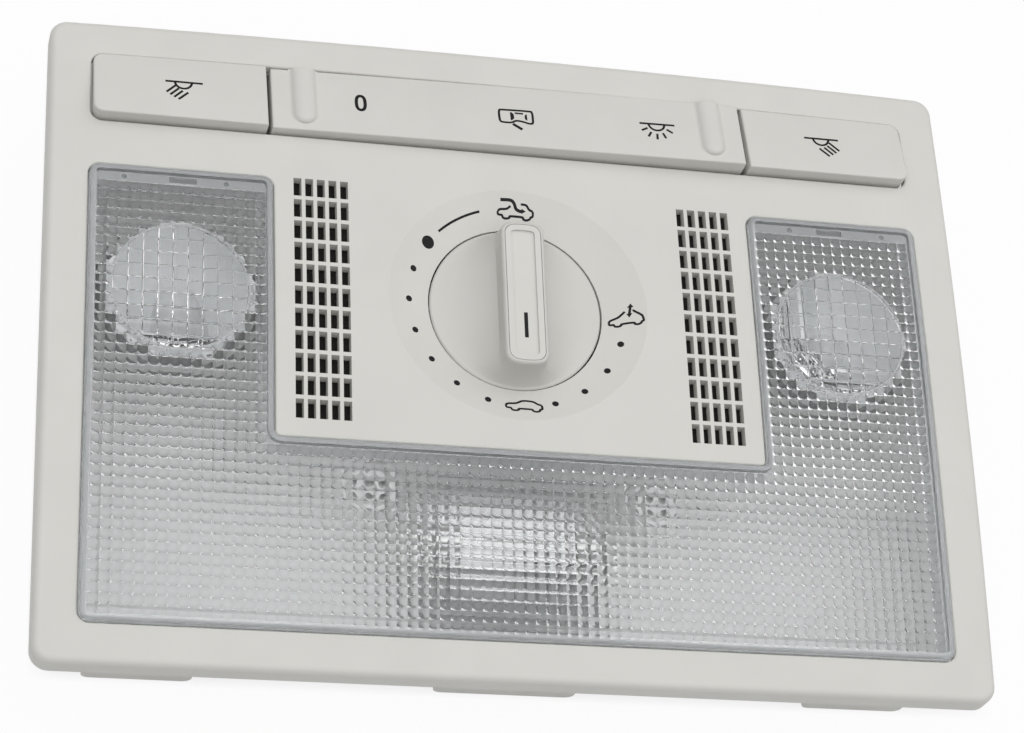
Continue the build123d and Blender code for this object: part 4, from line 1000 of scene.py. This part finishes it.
patch(art, [(24.6, 11.05), (25.15, 10.1), (25.85, 11.15)])
print_on("dial_signs", art, dial_top, "base")

# Knob: grey plastic with a tall grip bar, an inlaid cap and a dark pointer pressed
# into the cap's slot. It is pressed on the selector's spindle.
# the grip is a darker copy of the panel grey: painted shade standing in for the shade on its scooped
# flanks, while the cap keeps the panel grey
knob_painted_shade_grey = moulded("knob_painted_shade_grey", srgb(203, 202, 197), srgb(206, 205, 200), 0.5, 0.35, 0.006)
dress(grey_plastic, "knob_cap")
dress(ink, "knob_pointer")
KNOB_R, KNOB_EDGE_T, BAR_RISE, BAR_HALF, BAR_END = 19.2, 2.4, 5.5, 4.85, 17.2
BAR_CORNER, BAR_EDGE, BAR_DRAFT = 2.6, 0.8, 0.3
CAP_LIP, CAP_T, CAP_CORNER = 0.8, 1.6, 2.2
SCOOP_UP, SCOOP_POWER = 4.9, 1.9
SWEEP_POWER, RIM_BEVEL, EDGE_SHARE = 1.3, 0.3, 0.98
HUB_R, HUB_DROP = 6.2, 3.0
knob_rim_z = crown(KNOB_Y) - DIAL_DROP
bar_z = crown(KNOB_Y) + BAR_RISE
knob = bmesh.new()


def grip_outline(half, end, corner):
    # plan of the grip bar: straight flanks, rounded corners and ends that follow the disc
    cx = half - corner
    cy = math.sqrt((end - corner) ** 2 - cx ** 2)
    turn = math.atan2(cy, cx)
    points = [(half, cy * (k / 12 - 1)) for k in range(24)]
    arc = [turn * k / 8 for k in range(8)]
    points += [(cx + corner * math.cos(a), cy + corner * math.sin(a)) for a in arc]
    arc = [turn + (math.pi - 2 * turn) * k / 8 for k in range(8)]
    points += [(end * math.cos(a), end * math.sin(a)) for a in arc]
    arc = [math.pi - turn + turn * k / 8 for k in range(8)]
    points += [(-cx + corner * math.cos(a), cy + corner * math.sin(a)) for a in arc]
    return points + [(-x, -y) for x, y in points]


def disc_outline(r):
    # the same number of points round the disc, level with those of the bar
    reach = math.asin((BAR_END - BAR_CORNER) / KNOB_R)
    angles = [math.asin(math.sin(reach) * (k / 12 - 1)) for k in range(24)]
    angles += [reach + (math.pi - 2 * reach) * k / 24 for k in range(24)]
    points = [(r * math.cos(a), r * math.sin(a)) for a in angles]
    return points + [(-x, -y) for x, y in points]


def knob_ring(points, z):
    return [knob.verts.new((x * MM, (KNOB_Y + y) * MM, z * MM)) for x, y in points]


pocket = grip_outline(BAR_HALF - CAP_LIP, BAR_END - CAP_LIP, CAP_CORNER)
knob_rings = [knob_ring(pocket, bar_z - CAP_T), knob_ring(pocket, bar_z)]
for k in range(7):
    bend = math.radians(15 * k)
    tuck = BAR_EDGE * (1 - math.sin(bend)) * EDGE_SHARE
    plan = grip_outline(BAR_HALF - tuck, BAR_END - tuck, BAR_CORNER - tuck)
    knob_rings.append(knob_ring(plan, bar_z - BAR_EDGE * (1 - math.cos(bend))))
foot = grip_outline(BAR_HALF + BAR_DRAFT, BAR_END + BAR_DRAFT, BAR_CORNER + BAR_DRAFT)
rim = disc_outline(KNOB_R - RIM_BEVEL)
for k in range(17):
    t = (k / 16) ** SWEEP_POWER
    sweep = [(ax + (bx - ax) * t, ay + (by - ay) * t) for (ax, ay), (bx, by) in zip(foot, rim)]
    knob_rings.append(knob_ring(sweep, knob_rim_z + SCOOP_UP * (1 - t) ** SCOOP_POWER))
under_z = knob_rim_z - KNOB_EDGE_T
hub_z = under_z - HUB_DROP
for r, z in ((KNOB_R, knob_rim_z - RIM_BEVEL), (KNOB_R, under_z), (HUB_R, under_z), (HUB_R, hub_z)):
    knob_rings.append(knob_ring(disc_outline(r), z))
close_rings(knob, knob_rings)
knob_piece = finish_piece("knob_grip", knob, knob_painted_shade_grey, "knob", 40.0)
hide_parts("sunroof_knob")

# Screws and clips: zinc-plated screws pull the housing to the panel from
# behind, and two springs of steel strip hold the whole unit in the roof.
spring_steel = metal("spring_steel", srgb(150, 152, 156), srgb(176, 178, 182), 0.28, 2.0, (1.0, 1.0, 0.1))
zinc = metal("zinc", srgb(182, 184, 186), srgb(206, 208, 208), 0.3, 1.0)
dress(spring_steel, "retaining_clip_left", "retaining_clip_right")
dress(zinc, "housing_screws")

# Stage: a plain white floor under the part, a large soft lamp above and the camera
# where the photographer stood.
floor_mesh = bpy.data.meshes.new("floor")
stage_half, floor_z = 3.0, cad_box[0][2] - 0.2 * MM
floor_mesh.from_pydata(
    [(-stage_half, -stage_half, floor_z), (stage_half, -stage_half, floor_z),
     (stage_half, stage_half, floor_z), (-stage_half, stage_half, floor_z)], [], [(0, 1, 2, 3)])
floor = bpy.data.objects.new("floor", floor_mesh)
bpy.context.scene.collection.objects.link(floor)
paper, tree, bsdf, where = new_material("paper")
tooth = noise(tree, where, 120.0)
sheet = two_tone(tree, tooth, (0.76, 0.76, 0.76, 1), (0.78, 0.78, 0.78, 1))
tree.links.new(sheet, bsdf.inputs["Base Color"])
bsdf.inputs["Roughness"].default_value = 0.9
bsdf.inputs["Specular IOR Level"].default_value = 0.0
sight = tree.nodes.new("ShaderNodeLightPath")
seen = sum_of(tree, "MAXIMUM", sight.outputs["Is Camera Ray"], sum_of(
    tree, "MAXIMUM", sight.outputs["Is Glossy Ray"], sight.outputs["Is Transmission Ray"]))
veil = tree.nodes.new("ShaderNodeMixShader")
glow = tree.nodes.new("ShaderNodeEmission")
spot = add(tree, "ShaderNodeSeparateXYZ", Vector=where)
fade = []
for axis, mid, reach_mm, soft_mm in (("X", 7.0, 108.0, 6.0), ("Y", 12.0, 80.0, 12.0)):
    off = sum_of(tree, "ABSOLUTE", sum_of(tree, "SUBTRACT", spot.outputs[axis], mid * MM))
    ramp = sum_of(tree, "MULTIPLY", sum_of(tree, "SUBTRACT", reach_mm * MM, off), 1 / (soft_mm * MM))
    fade.append(sum_of(tree, "MINIMUM", sum_of(tree, "MAXIMUM", ramp, 0.0), 1.0))
beside = sum_of(tree, "SUBTRACT", 1.0, sum_of(tree, "MULTIPLY", *fade))
VEIL = 0.95
tree.links.new(sum_of(tree, "MULTIPLY", sum_of(tree, "MULTIPLY", seen, beside), VEIL), veil.inputs["Fac"])
tree.links.new(bsdf.outputs[0], veil.inputs[1])
tree.links.new(glow.outputs[0], veil.inputs[2])
open_below = tree.nodes.new("ShaderNodeMixShader")
tree.links.new(tree.nodes.new("ShaderNodeNewGeometry").outputs["Backfacing"], open_below.inputs["Fac"])
tree.links.new(veil.outputs[0], open_below.inputs[1])
tree.links.new(tree.nodes.new("ShaderNodeBsdfTransparent").outputs[0], open_below.inputs[2])
tree.links.new(open_below.outputs[0], tree.nodes["Material Output"].inputs["Surface"])
floor_mesh.materials.append(paper)

world = bpy.data.worlds.new("studio")
bpy.context.scene.world = world
world.use_nodes = True
tent = world.node_tree
sky = tent.nodes["Background"]
sky.inputs["Color"].default_value = (1.0, 1.0, 1.0, 1.0)
around = tent.nodes.new("ShaderNodeTexCoord").outputs["Generated"]
heading = add(tent, "ShaderNodeSeparateXYZ", Vector=around)
overhead = sum_of(tent, "MAXIMUM", heading.outputs["Z"], 0.0)
TENT_TOP, TENT_LOW = 1.58, 0.14
squared = sum_of(tent, "MULTIPLY", overhead, overhead)
tent.links.new(sum_of(tent, "MULTIPLY_ADD", squared, TENT_TOP, TENT_LOW), sky.inputs["Strength"])

lamp_data = bpy.data.lights.new("key_lamp", "AREA")
lamp_data.shape = "DISK"
lamp_data.size = 0.9
lamp_data.energy = 2.0
lamp = bpy.data.objects.new("key_lamp", lamp_data)
lamp.location = (1.1, 0.75, 0.95)
lamp.rotation_euler = (-lamp.location).to_track_quat("-Z", "Y").to_euler()
bpy.context.scene.collection.objects.link(lamp)

camera_data = bpy.data.cameras.new("camera")
camera_data.sensor_width = 36.0
camera_data.lens = 104.15
camera_data.clip_start = 0.01
camera = bpy.data.objects.new("camera", camera_data)
right = Vector((0.97082, -0.03881, 0.23666))
up = Vector((-0.06683, 0.90394, 0.42240))
back = Vector((-0.23032, -0.42589, 0.87497))
turn = Matrix((right, up, back)).transposed().to_4x4()
camera.matrix_world = Matrix.Translation(Vector((-148.79, -275.38, 564.53)) * MM) @ turn
bpy.context.scene.collection.objects.link(camera)
bpy.context.scene.camera = camera
bpy.context.scene.view_settings.view_transform = "Standard"
# light passes many times between the clear lens and the white tub behind it
bpy.context.scene.cycles.max_bounces = 14
bpy.context.scene.cycles.diffuse_bounces = 6
bpy.context.scene.cycles.glossy_bounces = 6
bpy.context.scene.cycles.transmission_bounces = 12
